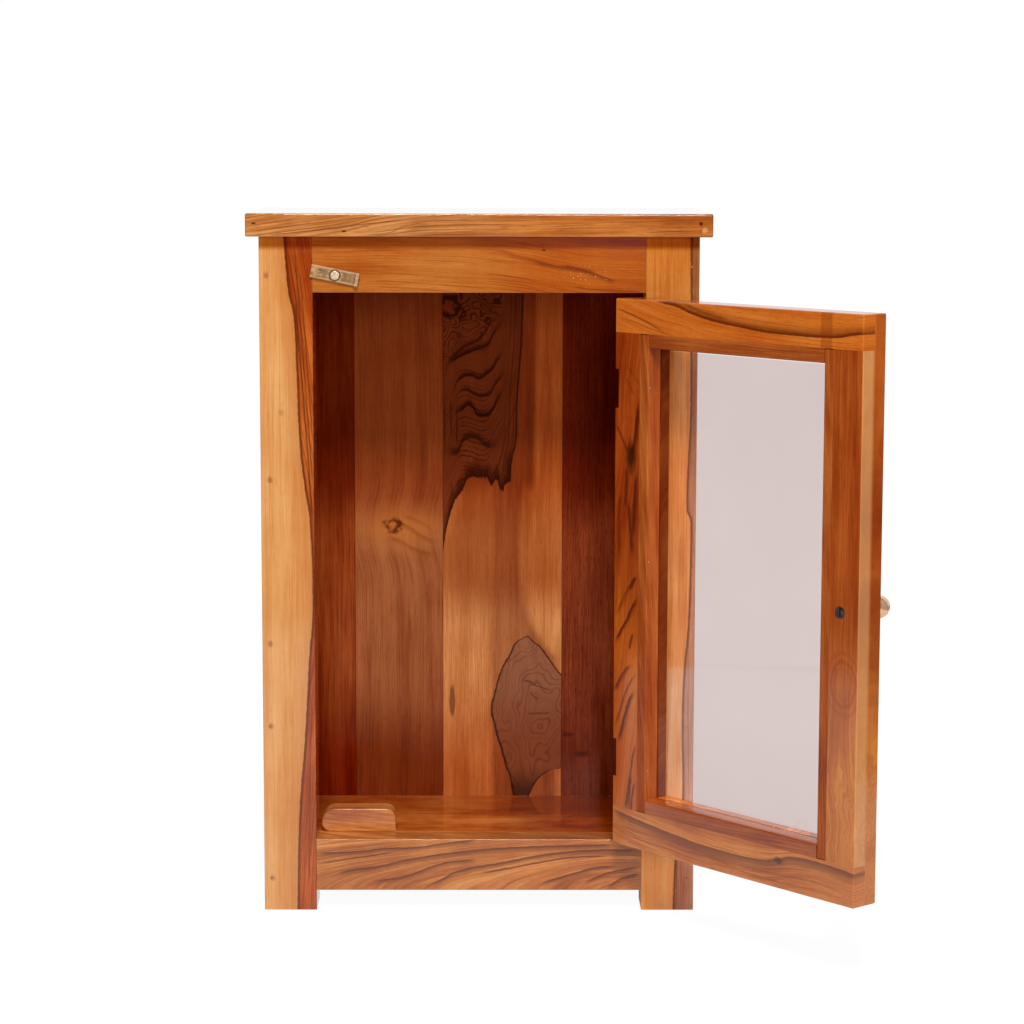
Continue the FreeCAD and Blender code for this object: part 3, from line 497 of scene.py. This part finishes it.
def plank_b_wood():
    """Even brown with a small knot, and grain that bends round it."""
    wood = Wood("second back plank wood", "z", "x", seed=18.0)
    bend = [(60, 2), (250, 4), (306, -4), (350, 2), (560, 0)]
    field = wood.rings((-0.30, 0.10), flow=bend)
    colour = wood.figure(field, BROWN, RUSSET, gap=0.0022)
    colour = wood.mix(wood.spot(304, -70, 17, 30, 0.8, 0.5) * 0.6, colour, ORANGE[0])
    whirls = [([(-92, 300), (-80, 309), (-68, 307), (-50, 296), (-36, 291)], 1.5, 6.0, 0.45),
              ([(-84, 297), (-72, 293), (-55, 284), (-38, 280)], 1.5, 6.0, 0.4),
              ([(-70, 316), (-56, 311), (-42, 303)], 1.5, 5.0, 0.3)]
    colour = wood.draw(colour, whirls, RUSSET, over=True)
    colour = wood.mix(wood.spot(306, -76.5, 6.0, 7.5, 0.3, 1.0) * 0.9, colour, UMBER)
    colour = wood.mix(wood.spot(306.5, -78, 2.8, 3.6, 0.4, 1.0) * 0.8, colour, ORANGE[0])
    # Painted highlight: a thin reddish light line down the plank's edge at the joint.
    joint_highlight = (1.0 - wood.step(wood.across, -0.1108, -0.1100)) * wood.step(wood.along, 0.09, 0.15)
    colour = wood.mix(joint_highlight * 0.6, colour, ORANGE[2])
    return back_plank(wood, colour, (0.92, 0.60, 0.39), (0.54, 0.29, 0.18))


def plank_c_wood():
    """Pale and brown strips, with a dark figured patch at the top and a leaf-shaped one near the floor."""
    wood = Wood("third back plank wood", "z", "x", seed=21.0)
    field = wood.rings((-0.40, 0.10))
    strip = wood.figure(field, BROWN, RUSSET, gap=0.005, line_share=0.12, spread=1.4)
    colour = wood.figure(field, SAND, ORANGE[2], gap=0.006, line_share=0.15, spread=1.4)
    rag = (wood.noise(wood.across / 0.003, wood.along / 0.006, 3.0, 3.0) - 0.5) * 0.004

    edge = wood.curve(wood.along, [(187, 70.2), (206, 54.9), (231, 44.2), (262, 39.6), (300, 38.2),
                                   (330, 40), (350, 48.5)])
    brown = wood.step(wood.across + rag, 0.006, 0.0145) * wood.step(edge - wood.across + rag, -0.003, 0.008)
    upper = wood.step(wood.along, 0.33, 0.35) * (1.0 - wood.step(wood.across, 0.046, 0.051))
    colour = wood.mix(brown.most(upper) * 0.9, colour, strip)
    haze = wood.step(wood.along, 0.185, 0.26) * wood.step(wood.across + rag * 2.0, -0.034, -0.012)
    haze = haze * (1.0 - wood.step(wood.across, 0.03, 0.05))
    haze = haze.most(wood.spot(280, 2, 60, 36, 0.7, 0.4)) * (1.0 - brown)
    colour = wood.mix(haze * 0.6, colour, BROWN[1])
    colour = wood.deepen(colour, 212, 260, (0.76, 0.55, 0.42))
    colour = wood.mix(wood.spot(147.5, -25, 14, 2.6, 0.25) * 0.75, colour, SEPIA)

    colour = plank_c_patch(wood, colour, rag)
    colour = plank_c_leaf(wood, colour, rag)
    return back_plank(wood, colour, (1.01, 0.72, 0.485), (0.76, 0.50, 0.36))


def plank_c_patch(wood, colour, rag):
    """A dark patch with wavy growth lines, a swirl in its upper corner and a ragged lower edge."""
    right = wood.curve(wood.along, [(330, 22), (344, 26.8), (361, 27.6), (385, 32.2), (416, 32.9),
                                    (470, 36.6), (513, 38)])
    foot = wood.curve(wood.across, [(-33, 283), (-29.2, 306.6), (-25.3, 320.7), (-22.1, 328.6),
                                    (-15.9, 338), (-11.3, 347.4), (-8.2, 350.5), (-0.4, 348.9),
                                    (5.8, 349), (10.5, 342.7), (14.4, 347.4), (19, 336.4),
                                    (22.9, 344.3), (28, 344.3)])
    inside = (right - wood.across + rag * 0.3).least((wood.along - foot + rag * 2.5) * 0.5)
    cloud = wood.noise(wood.across / 0.012, wood.along / 0.03, 4.0, 3.0)
    ground = wood.mix(cloud, (0.156, 0.0315, 0.0085), (0.275, 0.0687, 0.0213))
    sweep = wood.curve(wood.across, [(-33, 400), (-29, 412), (-25, 421), (-19, 432), (-14, 434),
                                     (-6, 432), (0, 430), (6, 431), (12, 441), (19, 455), (24, 478),
                                     (32, 504), (38, 566)])
    high = wood.step(wood.along - sweep, 0.025, 0.055)
    thin = wood.lines(sweep - wood.along - rag * 0.8, 0.0044, 0.8, 0.13, 0.30) * (1.0 - high)
    swirl = wood.noise(wood.across / 0.028, wood.along / 0.026, 8.0, 2.0) * 0.09
    curls = wood.lines(swirl, 0.0058, 0.3, 0.18, 0.22) * high
    dark = wood.mix(thin.most(curls) * 0.9, ground, INK)
    margin = right - wood.across
    runs = wood.lines(margin, 0.0034, 0.6, 0.12, 0.30) * wood.step(margin, 0.016, 0.008)
    dark = wood.mix(runs * 0.75, dark, INK)
    eye = wood.oval(500, -27, 8.5, 8.5, 0.5)
    dark = wood.mix(wood.near(eye, 0.95, 0.10, 0.40) * 0.9, dark, INK)
    dark = wood.mix((1.0 - wood.step(eye, 0.25, 0.7)) * 0.7, dark, RED[2])
    waves = [([(-33, 440), (-26.7, 450), (-15.9, 457.8), (-3.5, 462.5), (5.7, 465.6), (11.9, 476.4),
               (16.5, 482.6), (21, 489.5)], 2.1, -6.3, 0.95),
             ([(-33, 446), (-23.6, 456.3), (-14.3, 464), (-2, 470.2), (5.7, 479.5), (8.8, 485.6),
               (17, 489)], 1.8, -4.9, 0.85),
             ([(-27.5, 416), (-23.6, 425.3), (-17.4, 436.9), (-8.2, 439.2), (-0.4, 436.9), (5.8, 440.8),
               (10.4, 444.7), (13.5, 450), (19.6, 459.4), (23, 471)], 1.8, -6.3, 0.95),
             ([(-21, 419.5), (-17.4, 425.3), (-12.8, 426.8), (-5.1, 422.2), (1.1, 420.6), (7.3, 422.2),
               (13.5, 431.5), (19.7, 440.8), (24, 451)], 1.65, -5.6, 0.85),
             ([(-25, 404.5), (-15.9, 409.7), (-9.7, 413.6), (-5.8, 409.8), (-2, 404.3), (5.8, 403.6),
               (10.4, 408.2), (15.1, 417.6), (23, 430.4)], 2.1, -7.7, 1.0),
             ([(-31, 372), (-22.1, 370.8), (-15.1, 381.7), (-8.2, 384.9), (-2, 383.3), (7.4, 377.1),
               (16, 380.4)], 3.0, -8.4, 0.85)]
    dark = wood.draw(dark, waves, INK, over=True, rag=0.0016)
    falls = [([(368, -31), (415, -31.4)], 0.6, 1.2, 0.8), ([(383, -25.4), (420, -26)], 0.6, 1.4, 0.85),
             ([(377, -20.6), (412, -20.5)], 0.6, 1.4, 0.8)]
    dark = wood.draw(dark, falls, INK)
    smoke = 1.0 - wood.step(inside, 0.001, wood.noise(wood.across / 0.005, wood.along / 0.03, 6.0) * 0.022)
    low = 1.0 - wood.step(wood.along, 0.355, 0.385)
    dark = wood.mix(smoke * low * 0.9, dark, INK)
    colour = wood.mix(wood.step(inside, -0.0005, 0.0006), colour, dark)
    rim = wood.near(inside, 0.0006, 0.0003, 0.0014)
    return wood.mix(rim * 0.8, colour, INK)


def plank_c_leaf(wood, colour, rag):
    """A leaf-shaped patch of grey-brown rings with a thin jagged rim."""
    left = wood.curve(wood.along, [(60, 29.5), (76.4, 26.8), (90.2, 22.3), (102.8, 18.9), (115.3, 15),
                                   (127.9, 12.2), (139.3, 9.5), (153, 12.1), (164.3, 14.9),
                                   (173.4, 17.7), (181.4, 21), (190.5, 26.6), (198.4, 29.9),
                                   (204.1, 36.6), (206.6, 42.7)])
    far = wood.curve(wood.along, [(60, 43.5), (74.2, 50.4), (79.9, 56), (85.1, 64), (88, 85), (165, 85),
                                  (171.2, 73), (179.1, 66.8), (187.1, 61.2), (196.1, 54.5),
                                  (201.8, 47.8), (206.6, 42.7)])
    inside = (wood.across - left).least(far - wood.across).least(0.2066 - wood.along) + rag * 0.5
    drift = (wood.noise(wood.across / 0.020, wood.along / 0.030, 12.0, 1.5) - 0.5) * 3.2
    ring = (wood.oval(124, 54, 19, 10, 0.0) + drift) * 0.010
    veins = wood.lines(ring, 0.0040, 0.4, 0.16, 0.30)
    cloud = wood.noise(wood.across / 0.008, wood.along / 0.03, 14.0, 3.0)
    grey = wood.mix(cloud, (0.24, 0.074, 0.031), (0.38, 0.145, 0.070))
    grey = wood.mix(veins * 0.5, grey, (0.11, 0.028, 0.012))
    bars = [([(41, 137.5), (50, 136.6), (63, 137.4)], 0.8, 2.0, 0.7),
            ([(44, 157), (48, 152), (52, 150)], 1.2, 2.5, 0.7),
            ([(36, 166), (43.4, 165.5), (49, 162.1), (56, 159.8), (66, 157)], 0.7, 1.6, 0.75)]
    grey = wood.draw(grey, bars, (0.095, 0.022, 0.009), over=True, rag=0.0012)
    colour = wood.mix(wood.step(inside, -0.0005, 0.0006), colour, grey)
    thick = wood.noise(wood.along / 0.015, wood.across / 0.015, 16.0) * 0.0022
    rim = wood.near(inside, 0.0007, 0.0002, thick + 0.0004)
    colour = wood.mix(rim * 0.9, colour, INK)
    tip = wood.step(inside, -0.0005, 0.0006) * (1.0 - wood.step(wood.along, 0.062, 0.092))
    return wood.mix(tip * 0.8, colour, INK)


def plank_d_wood():
    """Dark plum with many pores and two inky flecks."""
    wood = Wood("fourth back plank wood", "z", "x", seed=25.0)
    field = wood.rings((0.40, 0.10))
    colour = wood.figure(field, PLUM, INK, gap=0.005, line_share=0.4, pore_share=0.6)
    for along, across, length, width in ((117, 78, 2.0, 6.0), (99, 90, 2.4, 6.0)):
        colour = wood.mix(wood.spot(along, across, length, width, 0.6) * 0.6, colour, INK)
    return back_plank(wood, colour, (0.68, 0.35, 0.17), (0.80, 0.70, 0.84))


def floor_wood():
    """Glossy boards, darker towards the back wall, where dust lies in the corner."""
    wood = Wood("floor wood", "x", "y", seed=74.0)
    field = wood.rings((0.30, 0.30), flow=[(-140, 0), (0, 2), (60, 8), (140, 12)])
    colour = wood.figure(field, GLOSSY, RED[2], gap=0.014, line_share=0.3, fine=0.020, broad=0.05,
                         pore_share=0.02)
    back = wood.step(wood.across, 0.060, 0.125)
    colour = wood.mix(back * 0.6, colour, RED[2])
    colour = wood.deepen(colour, 0, 80, (0.53, 0.27, 0.02))
    colour = wood.deepen(colour, 0, -60, (1.07, 1.15, 1.10))
    marks = [([(-30, 112), (22, 106), (48, 112), (75, 118)], 2.0, 8.0, 0.6),
             ([(60, 110), (78, 114), (106, 126)], 2.0, 8.0, 0.7),
             ([(-60, 96), (-20, 92), (30, 96)], 1.5, 6.0, 0.5)]
    colour = wood.draw(colour, marks, RUSSET)
    speck = wood.noise(wood.along / 0.0016, wood.across / 0.0016, 20.0, 1.0)
    corner = wood.step(wood.across, 0.149, 0.158) * 0.11
    colour = wood.mix(wood.step(speck + corner, 0.77, 0.81) * 0.8, colour, DUST)
    return wood.oil(colour, 1.0, 0.08, 0.1)


def hinge_stile_wood():
    """Orange wood with dark slanting strokes that fan out below a knot."""
    wood = Wood("hinge stile wood", "z", "x", DOOR, seed=31.0)
    field = wood.rings((0.30, 0.05), lean=(-0.12, 0.0), wobble=0.005)
    upper = wood.figure(field, RED, RUSSET, gap=0.0075, line_share=0.4)
    lower = wood.figure(field, AMBER, RED[2], gap=0.0065, line_share=0.35)
    colour = wood.mix(wood.step(wood.along, 0.20, 0.36), lower, upper)
    strokes = [([(384.4, -16.5), (393, -18.4), (403, -21.4), (414.6, -23.3), (423, -24.2), (436, -26.3)],
                2.25, 6.4, 0.95),
               ([(391, -15.4), (403.4, -7), (416, 0.5)], 1.5, 4.0, 0.7),
               ([(346, -10.6), (367, -12), (383, -12.4)], 2.25, 4.8, 0.85),
               ([(322, -20), (361, -22.3), (380, -23.8)], 1.8, 5.6, 0.9),
               ([(308, -19.6), (339, -16), (355, -13.5)], 1.8, 4.8, 0.85),
               ([(305, -5), (330, -3.6), (362, -5.6)], 1.5, 4.0, 0.6),
               ([(256, -0.8), (277, -12.5), (295, -27)], 1.5, 6.4, 0.55),
               ([(279, -17), (285, -20.2), (292, -24)], 3.0, 4.0, 0.85),
               ([(232, 0.5), (244.6, -6.6), (255.8, -14.8), (263.5, -18.8), (276, -27)], 1.8, 5.6, 0.95),
               ([(229, -17), (237.6, -19.1), (245, -21.4)], 1.8, 3.2, 0.8),
               ([(192, 0.8), (205.6, -7), (219, -19)], 1.8, 6.4, 0.8),
               ([(148, -4), (160.6, -7.5), (177.6, -13.5), (191.6, -19.6), (199, -27.5)], 1.8, 5.6, 0.95),
               ([(162, -0.5), (179.5, -7.3), (198, -15.4), (213, -27)], 1.2, 3.2, 0.7),
               ([(94, -14.2), (109.6, -16.3), (125, -19.6)], 1.8, 4.0, 0.85),
               ([(92, -18.2), (116, -18.8), (136.7, -21.3), (155, -26.8)], 1.2, 2.88, 0.85),
               ([(92, -20.2), (106, -21.6), (121, -25)], 1.2, 2.88, 0.85),
               ([(448, -27), (460, -16), (466, -8)], 0.9, 3.2, 0.4),
               ([(440, -20), (452, -12), (456, -6)], 0.9, 3.2, 0.4)]
    drawn = wood.draw(colour, strokes, UMBER, rag=0.001)
    drawn = wood.mix(wood.spot(389, -18, 12, 5.5, 0.6, 0.4) * 0.9, drawn, INK)
    rebate = wood.times(upper, (0.60, 0.85, 1.6))
    colour = wood.mix(wood.step(wood.depth, *INNER_FACE), rebate, drawn)
    return wood.oil(colour, tint=(0.89, 0.585, 0.29))


def free_stile_wood():
    """Red-brown above, paler with oval figure below, and two-toned on its outer edge."""
    wood = Wood("free stile wood", "z", "x", DOOR, seed=34.0)
    waves = wood.waver(3.0, 0.012, 0.03, 0.02) * (1.0 - wood.step(wood.along, 0.15, 0.21))
    field = wood.rings((-0.60, 0.02)) + waves
    upper = wood.figure(field, RED, RUSSET, gap=0.005, line_share=0.45, spread=1.2)
    lower = wood.figure(field, BISCUIT, RED[1], gap=0.0045, line_share=0.5, spread=1.2)
    colour = wood.mix(wood.step(wood.along, 0.16, 0.33), lower, upper)
    colour = wood.mix(wood.step(wood.across, -0.238, -0.233) * 0.5, colour, AMBER[1])
    oval = wood.oval(236, -254.7, 17, 12.5, 0.22)
    for reach, share in ((1.0, 0.4), (0.7, 0.2), (1.4, 0.2)):
        colour = wood.mix(wood.near(oval, reach, 0.04, 0.16) * share, colour, RED[2])
    end = 1.0 - wood.step(wood.across, -0.2686, -0.2682)
    strip = end * wood.step(wood.depth, 0.0140, 0.0190)
    colour = wood.mix(strip * 0.8, colour, lower)
    colour = wood.mix(strip * 0.25, colour, SAP[0])
    colour = wood.mix(strip * 0.15, colour, DUST)
    return wood.oil(colour, tint=(1.06, 0.92, 0.67))


def door_top_rail_wood():
    """Bright orange with one dark line that sweeps down from the hinge side and runs out level."""
    wood = Wood("door top rail wood", "x", "z", DOOR, seed=37.0)
    field = wood.rings((0.9, 0.05), flow=[(-270, -12), (-117, -6), (-75, 2), (-45, 7), (0, 18)])
    colour = wood.figure(field, AMBER, RED[2], gap=0.005, line_share=0.4, spread=1.2)
    sweep = [(-276, 504), (-258, 502.1), (-240, 499.4), (-222, 498.8), (-194, 499), (-166, 499.8),
             (-146.6, 501.5), (-127, 503.3), (-107.4, 505.8), (-87.3, 509.7), (-67, 515.1), (-44, 518)]
    lines = [(sweep, 1.2, -10.0, 0.65), (sweep, 1.0, -3.0, 0.8),
             ([(-130, 506), (-107, 509.5), (-90, 513), (-74, 518)], 1.0, -4.0, 0.5),
             ([(-58, 492.5), (-42.5, 498.2), (-23.7, 504.4), (2, 510.5)], 0.8, 2.2, 0.65),
             ([(-70, 491), (-48, 494), (-20, 500), (2, 504)], 0.5, 1.4, 0.4)]
    colour = wood.draw(colour, lines, UMBER)
    lap = wood.band(wood.along, (-0.2385, -0.2362), (-0.2268, -0.2245))
    colour = wood.mix(lap * 0.4, colour, RUSSET)
    return wood.oil(colour, tint=(1.10, 0.85, 0.58))


def door_bottom_rail_wood():
    """Biscuit brown with a long shaded line that dips in the middle, and a knot on it."""
    wood = Wood("door bottom rail wood", "x", "z", DOOR, seed=40.0)
    field = wood.rings((0.5, 0.05), flow=[(-270, 0), (-230, 2), (-156, -8), (-60, -4), (0, 4)])
    colour = wood.figure(field, BISCUIT, SEPIA, gap=0.005, line_share=0.5)
    shade = [(-276, 88), (-257.6, 91), (-230.6, 92.4), (-212.3, 92.2), (-190.2, 87.1), (-156.4, 81.8),
             (-117.8, 81.3), (-78.1, 83.6), (-37.3, 87.5), (2, 93)]
    strokes = [(shade, 1.2, 12.0, 0.8), (shade, 0.8, 3.0, 0.6),
               ([(-214, 71), (-175.6, 68.9), (-137.4, 71), (-110, 74), (-80, 72.8)], 0.5, 1.5, 0.45),
               ([(-120, 76), (-80, 78), (-30, 79), (2, 80)], 0.5, 1.5, 0.4),
               ([(-262, 72), (-220, 76), (-180, 74.5), (-140, 74)], 0.5, 1.5, 0.4)]
    colour = wood.draw(colour, strokes, SEPIA)
    colour = wood.mix(wood.spot(-189, 86, 4.5, 2.6, 0.4, 0.4) * 0.7, colour, INK)
    return wood.oil(colour, tint=(1.09, 0.93, 0.72))


def door_boards():
    """The door's frame and the beads round its pane."""
    dress(hinge_stile_wood(), "door_hinge_stile")
    dress(free_stile_wood(), "door_free_stile")
    dress(door_top_rail_wood(), "door_top_rail")
    dress(door_bottom_rail_wood(), "door_bottom_rail")
    for turn, name in enumerate(("bead_free", "bead_hinge")):
        dress(plain_board(name + " wood", "z", "x", 43.0 + turn, RED, axes=DOOR, varnish=0.3), name)
    for turn, name in enumerate(("bead_top", "bead_bottom")):
        dress(plain_board(name + " wood", "x", "z", 46.0 + turn, RED, axes=DOOR), name)


def nail_filler():
    """Mottled brown putty over the nail heads, toned like the wood on the right foot."""
    putty = Finish("nail putty")
    grain = putty.cloud(0.0008)
    colour = putty.ramp(grain, [(0.35, (0.24, 0.085, 0.025)), (0.6, (0.46, 0.19, 0.07))])
    foot = putty.step(putty.x, 0.05, 0.06) * (1.0 - putty.step(putty.z, 0.08, 0.10))
    colour = putty.mix(foot, colour, TAN[1])
    return putty.surface({"Base Color": colour, "Roughness": grain * 0.2 + 0.5}, grain)


def brass():
    """Polished brass with duller clouds."""
    metal = Finish("aged brass")
    cloud = metal.cloud(0.006, 4.0)
    tones = [(0.35, (0.78, 0.45, 0.23)), (0.55, (0.98, 0.66, 0.42)), (0.7, (1.0, 0.80, 0.58))]
    colour = metal.ramp(cloud, tones)
    fine = metal.cloud(0.0008)
    sockets = {"Base Color": colour, "Metallic": 0.45, "Roughness": cloud * 0.15 + 0.06}
    return metal.surface(sockets, fine, 0.00005)


def turn_button_brass():
    """Dull brass with painted highlights along the rims, grimy between them, and painted shade in a ring
    round the screw.
    """
    metal = Finish("turn button brass")
    side = metal.x - BUTTON_X
    rise = metal.z - BUTTON_Z
    along = side * math.cos(BUTTON_TILT) - rise * math.sin(BUTTON_TILT)
    across = side * math.sin(BUTTON_TILT) + rise * math.cos(BUTTON_TILT)
    cloud = metal.noise(along / 0.005, across / 0.003, 3.0, 4.0)
    tones = [(0.30, (0.27, 0.13, 0.050)), (0.5, (0.47, 0.26, 0.105)), (0.7, (0.62, 0.38, 0.18))]
    colour = metal.ramp(cloud, tones)
    # Painted highlight: the rims are lighter, as edges that catch the light.
    rim = metal.step(across.size(), 0.0036, 0.0046)
    grime = metal.step(cloud, 0.5, 0.35) * (1.0 - rim)
    for place in (-0.0085, 0.0085, 0.0125):
        grime = grime.most(metal.near(along, place, 0.001, 0.0035) * 0.8 * (1.0 - rim))
    lip = metal.band(along, (0.0148, 0.0156), (0.0162, 0.0172))
    grime = grime.most(lip * 0.8)
    colour = metal.mix(grime * 0.75, colour, (0.20, 0.10, 0.04))
    colour = metal.mix(rim * 0.7, colour, (0.72, 0.48, 0.25))
    # Painted shade: a dark ring in the recess round the screw.
    hub = (along * along + across * across).root()
    ring = metal.near(hub, 0.0044, 0.0003, 0.0009)
    colour = metal.mix(ring * 0.85, colour, (0.10, 0.05, 0.02))
    sockets = {"Base Color": colour, "Metallic": 0.55, "Roughness": cloud * 0.2 + 0.34}
    return metal.surface(sockets, cloud, 0.0001)


def screw_brass():
    """Bright worn brass, mottled."""
    metal = Finish("turn button screw brass")
    cloud = metal.noise(metal.x / 0.0012, metal.z / 0.0012, 5.0, 3.0)
    colour = metal.ramp(cloud, [(0.35, (0.55, 0.34, 0.16)), (0.6, (0.95, 0.78, 0.55))])
    sockets = {"Base Color": colour, "Metallic": 0.6, "Roughness": cloud * 0.2 + 0.25}
    return metal.surface(sockets, cloud, 0.0001)


def steel(name, dark, light):
    """Cloudy steel between a dark and a light tone."""
    metal = Finish(name)
    cloud = metal.cloud(0.004, 4.0)
    colour = metal.ramp(cloud, [(0.35, dark), (0.6, light)])
    sockets = {"Base Color": colour, "Metallic": 0.8, "Roughness": cloud * 0.3 + 0.25}
    return metal.surface(sockets, cloud, 0.00005)


def door_pane():
    """Faintly tinted glass that lets lamplight through, with smears low down and clear margins."""
    pane = Finish("pane glass", DOOR)
    tint = pane.ramp(pane.cloud(0.08), [(0.3, (0.75, 0.66, 0.645)), (0.7, (0.77, 0.685, 0.67))])
    smear = pane.noise(pane.x / 0.012, pane.y / 0.012, pane.z / 0.020, 4.0)
    low = (1.0 - pane.step(pane.z, 0.13, 0.20)) * (1.0 - pane.step(pane.x, -0.20, -0.17))
    tint = pane.mix(pane.step(smear, 0.56, 0.68) * low * 0.45, tint, (0.72, 0.60, 0.50))
    free_side = pane.step(pane.x, -0.2188, -0.2196)
    top = pane.step(pane.z, 0.4768, 0.4776)
    bottom = pane.step(pane.z, 0.1106, 0.1098)
    tint = pane.mix(free_side.most(top).most(bottom) * 0.95, tint, WHITE)
    sockets = {"Base Color": tint, "Roughness": 0.0, "IOR": 1.45, "Transmission Weight": 1.0}
    glass = pane.put("BsdfPrincipled", sockets).outputs[0]
    clear = pane.put("BsdfTransparent", {"Color": (0.95, 0.93, 0.92)}).outputs[0]
    lamp = pane.put("LightPath", {}).outputs["Is Shadow Ray"]
    both = pane.put("MixShader", {0: lamp, 1: glass, 2: clear}).outputs[0]
    pane.put("OutputMaterial", {"Surface": both})
    return pane.material


def dress_cabinet():
    """A finish for every piece."""
    dress(top_board_wood(), "top_board")
    dress(left_post_wood(), "front_post_left")
    dress(right_post_wood(), "front_post_right")
    dress(top_rail_wood(), "top_front_rail")
    dress(bottom_rail_wood(), "bottom_front_rail")
    dress(plank_a_wood(), "back_plank_1")
    dress(plank_b_wood(), "back_plank_2")
    dress(plank_c_wood(), "back_plank_3")
    dress(plank_d_wood(), "back_plank_4")
    dress(plain_board("left side wood", "z", "y", 60.0), "side_board_left")
    dress(plain_board("right side wood", "z", "y", 63.0), "side_board_right")
    dress(plain_board("left back post wood", "z", "x", 66.0), "back_post_left")
    dress(plain_board("right back post wood", "z", "x", 68.0), "back_post_right")
    dress(plain_board("top back rail wood", "x", "z", 70.0), "top_back_rail")
    dress(plain_board("bottom back rail wood", "x", "z", 72.0), "bottom_back_rail")
    dress(floor_wood(), "floor_board")
    dress(plain_board("stop block wood", "x", "z", 76.0, BISCUIT), "door_stop_block")
    dress(plain_board("left cleat wood", "y", "z", 78.0), "floor_cleat_left", "top_cleat_left")
    dress(plain_board("right cleat wood", "y", "z", 80.0), "floor_cleat_right", "top_cleat_right")
    door_boards()
    dress(door_pane(), "door_glass")
    dress(turn_button_brass(), "turn_button")
    dress(screw_brass(), "turn_button_screw")
    dress(brass(), "door_knob", "upper_hinge_post_leaf", "upper_hinge_door_leaf", "upper_hinge_pin",
          "lower_hinge_post_leaf", "lower_hinge_door_leaf", "lower_hinge_pin", "hinge_post_screws",
          "hinge_door_screws")
    dull = steel("dull steel", (0.16, 0.12, 0.10), (0.42, 0.37, 0.33))
    dress(dull, "floor_cleat_screws", "top_cleat_screws", "bead_pins")
    dress(steel("dark steel", (0.035, 0.025, 0.02), (0.13, 0.105, 0.09)), "door_knob_screw")
    dress(nail_filler(), "side_board_nails")


def white_world():
    """White where it is seen, tinted through the pane, dim in front in reflections, and weak as a light."""
    world = bpy.data.worlds.new("white studio")
    sky = Nodes(world)
    mirror, through, seen = sky.rays()
    toward = sky.put("SeparateXYZ", {0: sky.put("TexCoord", {}).outputs["Generated"]}).outputs["Y"]
    mirrored = sky.step(toward, 0.15, 0.45) * 0.97 + 0.03
    level = seen.most(mirrored * mirror + (1.0 - mirror) * 0.12)
    colour = sky.mix(through, WHITE, BACKDROP)
    glow = sky.put("Background", {"Color": colour, "Strength": level}).outputs[0]
    sky.put("OutputWorld", {"Surface": glow})
    bpy.context.scene.world = world


def soft_box(name, side, height, watts):
    """A square lamp aimed at the cabinet, at side degrees from the front and height degrees up."""
    around, up = math.radians(side), math.radians(height)
    away = Vector((math.sin(around) * math.cos(up), -math.cos(around) * math.cos(up), math.sin(up)))
    lamp = bpy.data.lights.new(name, "AREA")
    lamp.shape = "SQUARE"
    lamp.size = LAMP_SIZE
    lamp.energy = watts
    stand = bpy.data.objects.new(name, lamp)
    stand.location = Vector(LAMP_AIM) + away * LAMP_DISTANCE
    stand.rotation_euler = away.to_track_quat("Z", "Y").to_euler()
    bpy.context.scene.collection.objects.link(stand)


def pale_floor():
    """A wide white floor that keeps a faint shadow. In reflections it is a white sheet on a dark floor."""
    bpy.ops.object.select_all(action="DESELECT")
    bpy.ops.mesh.primitive_plane_add(size=FLOOR_WIDTH, location=FLOOR_MIDDLE)
    floor = bpy.context.object
    floor.name = "studio_floor"
    bpy.ops.object.transform_apply(location=True, rotation=False, scale=False)
    white = Finish("white floor")
    mirror, through, direct = white.rays()
    away = white.y - 0.08
    reach = (white.x * white.x + away * away).root()
    near = white.step(reach, 0.25, 0.80) * 0.05 + 0.95
    sheet = (1.0 - white.step(white.x.size(), 0.97, 1.02)) * white.step(white.y, -1.44, -1.36)
    glow = near * direct + sheet * mirror * (1.0 - direct)
    paned = white.mix(white.step(white.y, 1.06, 1.14), (0.835, 0.785, 0.78), BACKDROP)
    shade = white.mix(through, WHITE, paned)
    lit = white.put("Emission", {"Color": shade, "Strength": glow}).outputs[0]
    seen = direct.most(mirror)
    colour = white.mix(seen, (0.75, 0.75, 0.75), (0.12, 0.12, 0.12))
    plain = white.put("BsdfDiffuse", {"Color": colour}).outputs[0]
    both = white.put("AddShader", {0: lit, 1: plain}).outputs[0]
    white.put("OutputMaterial", {"Surface": both})
    floor.data.materials.append(white.material)


def camera():
    """The photograph's viewing point, lens and tilt."""
    pitch, yaw, roll = (math.radians(angle) for angle in CAMERA_TURNS)
    eye = bpy.data.cameras.new("camera")
    eye.sensor_width = CAMERA_SENSOR
    eye.lens = CAMERA_LENS
    stand = bpy.data.objects.new("camera", eye)
    aim = Matrix.Rotation(yaw, 4, "Z") @ Matrix.Rotation(math.pi / 2.0 - pitch, 4, "X")
    aim = aim @ Matrix.Rotation(-roll, 4, "Z")
    stand.matrix_world = Matrix.Translation(CAMERA_PLACE) @ aim
    bpy.context.scene.collection.objects.link(stand)
    bpy.context.scene.camera = stand


dress_cabinet()
white_world()
soft_box("high front soft box", side=0.0, height=49.0, watts=108.0)
soft_box("low front soft box", side=8.0, height=12.0, watts=34.0)
pale_floor()
camera()
bpy.context.scene.view_settings.view_transform = "Standard"
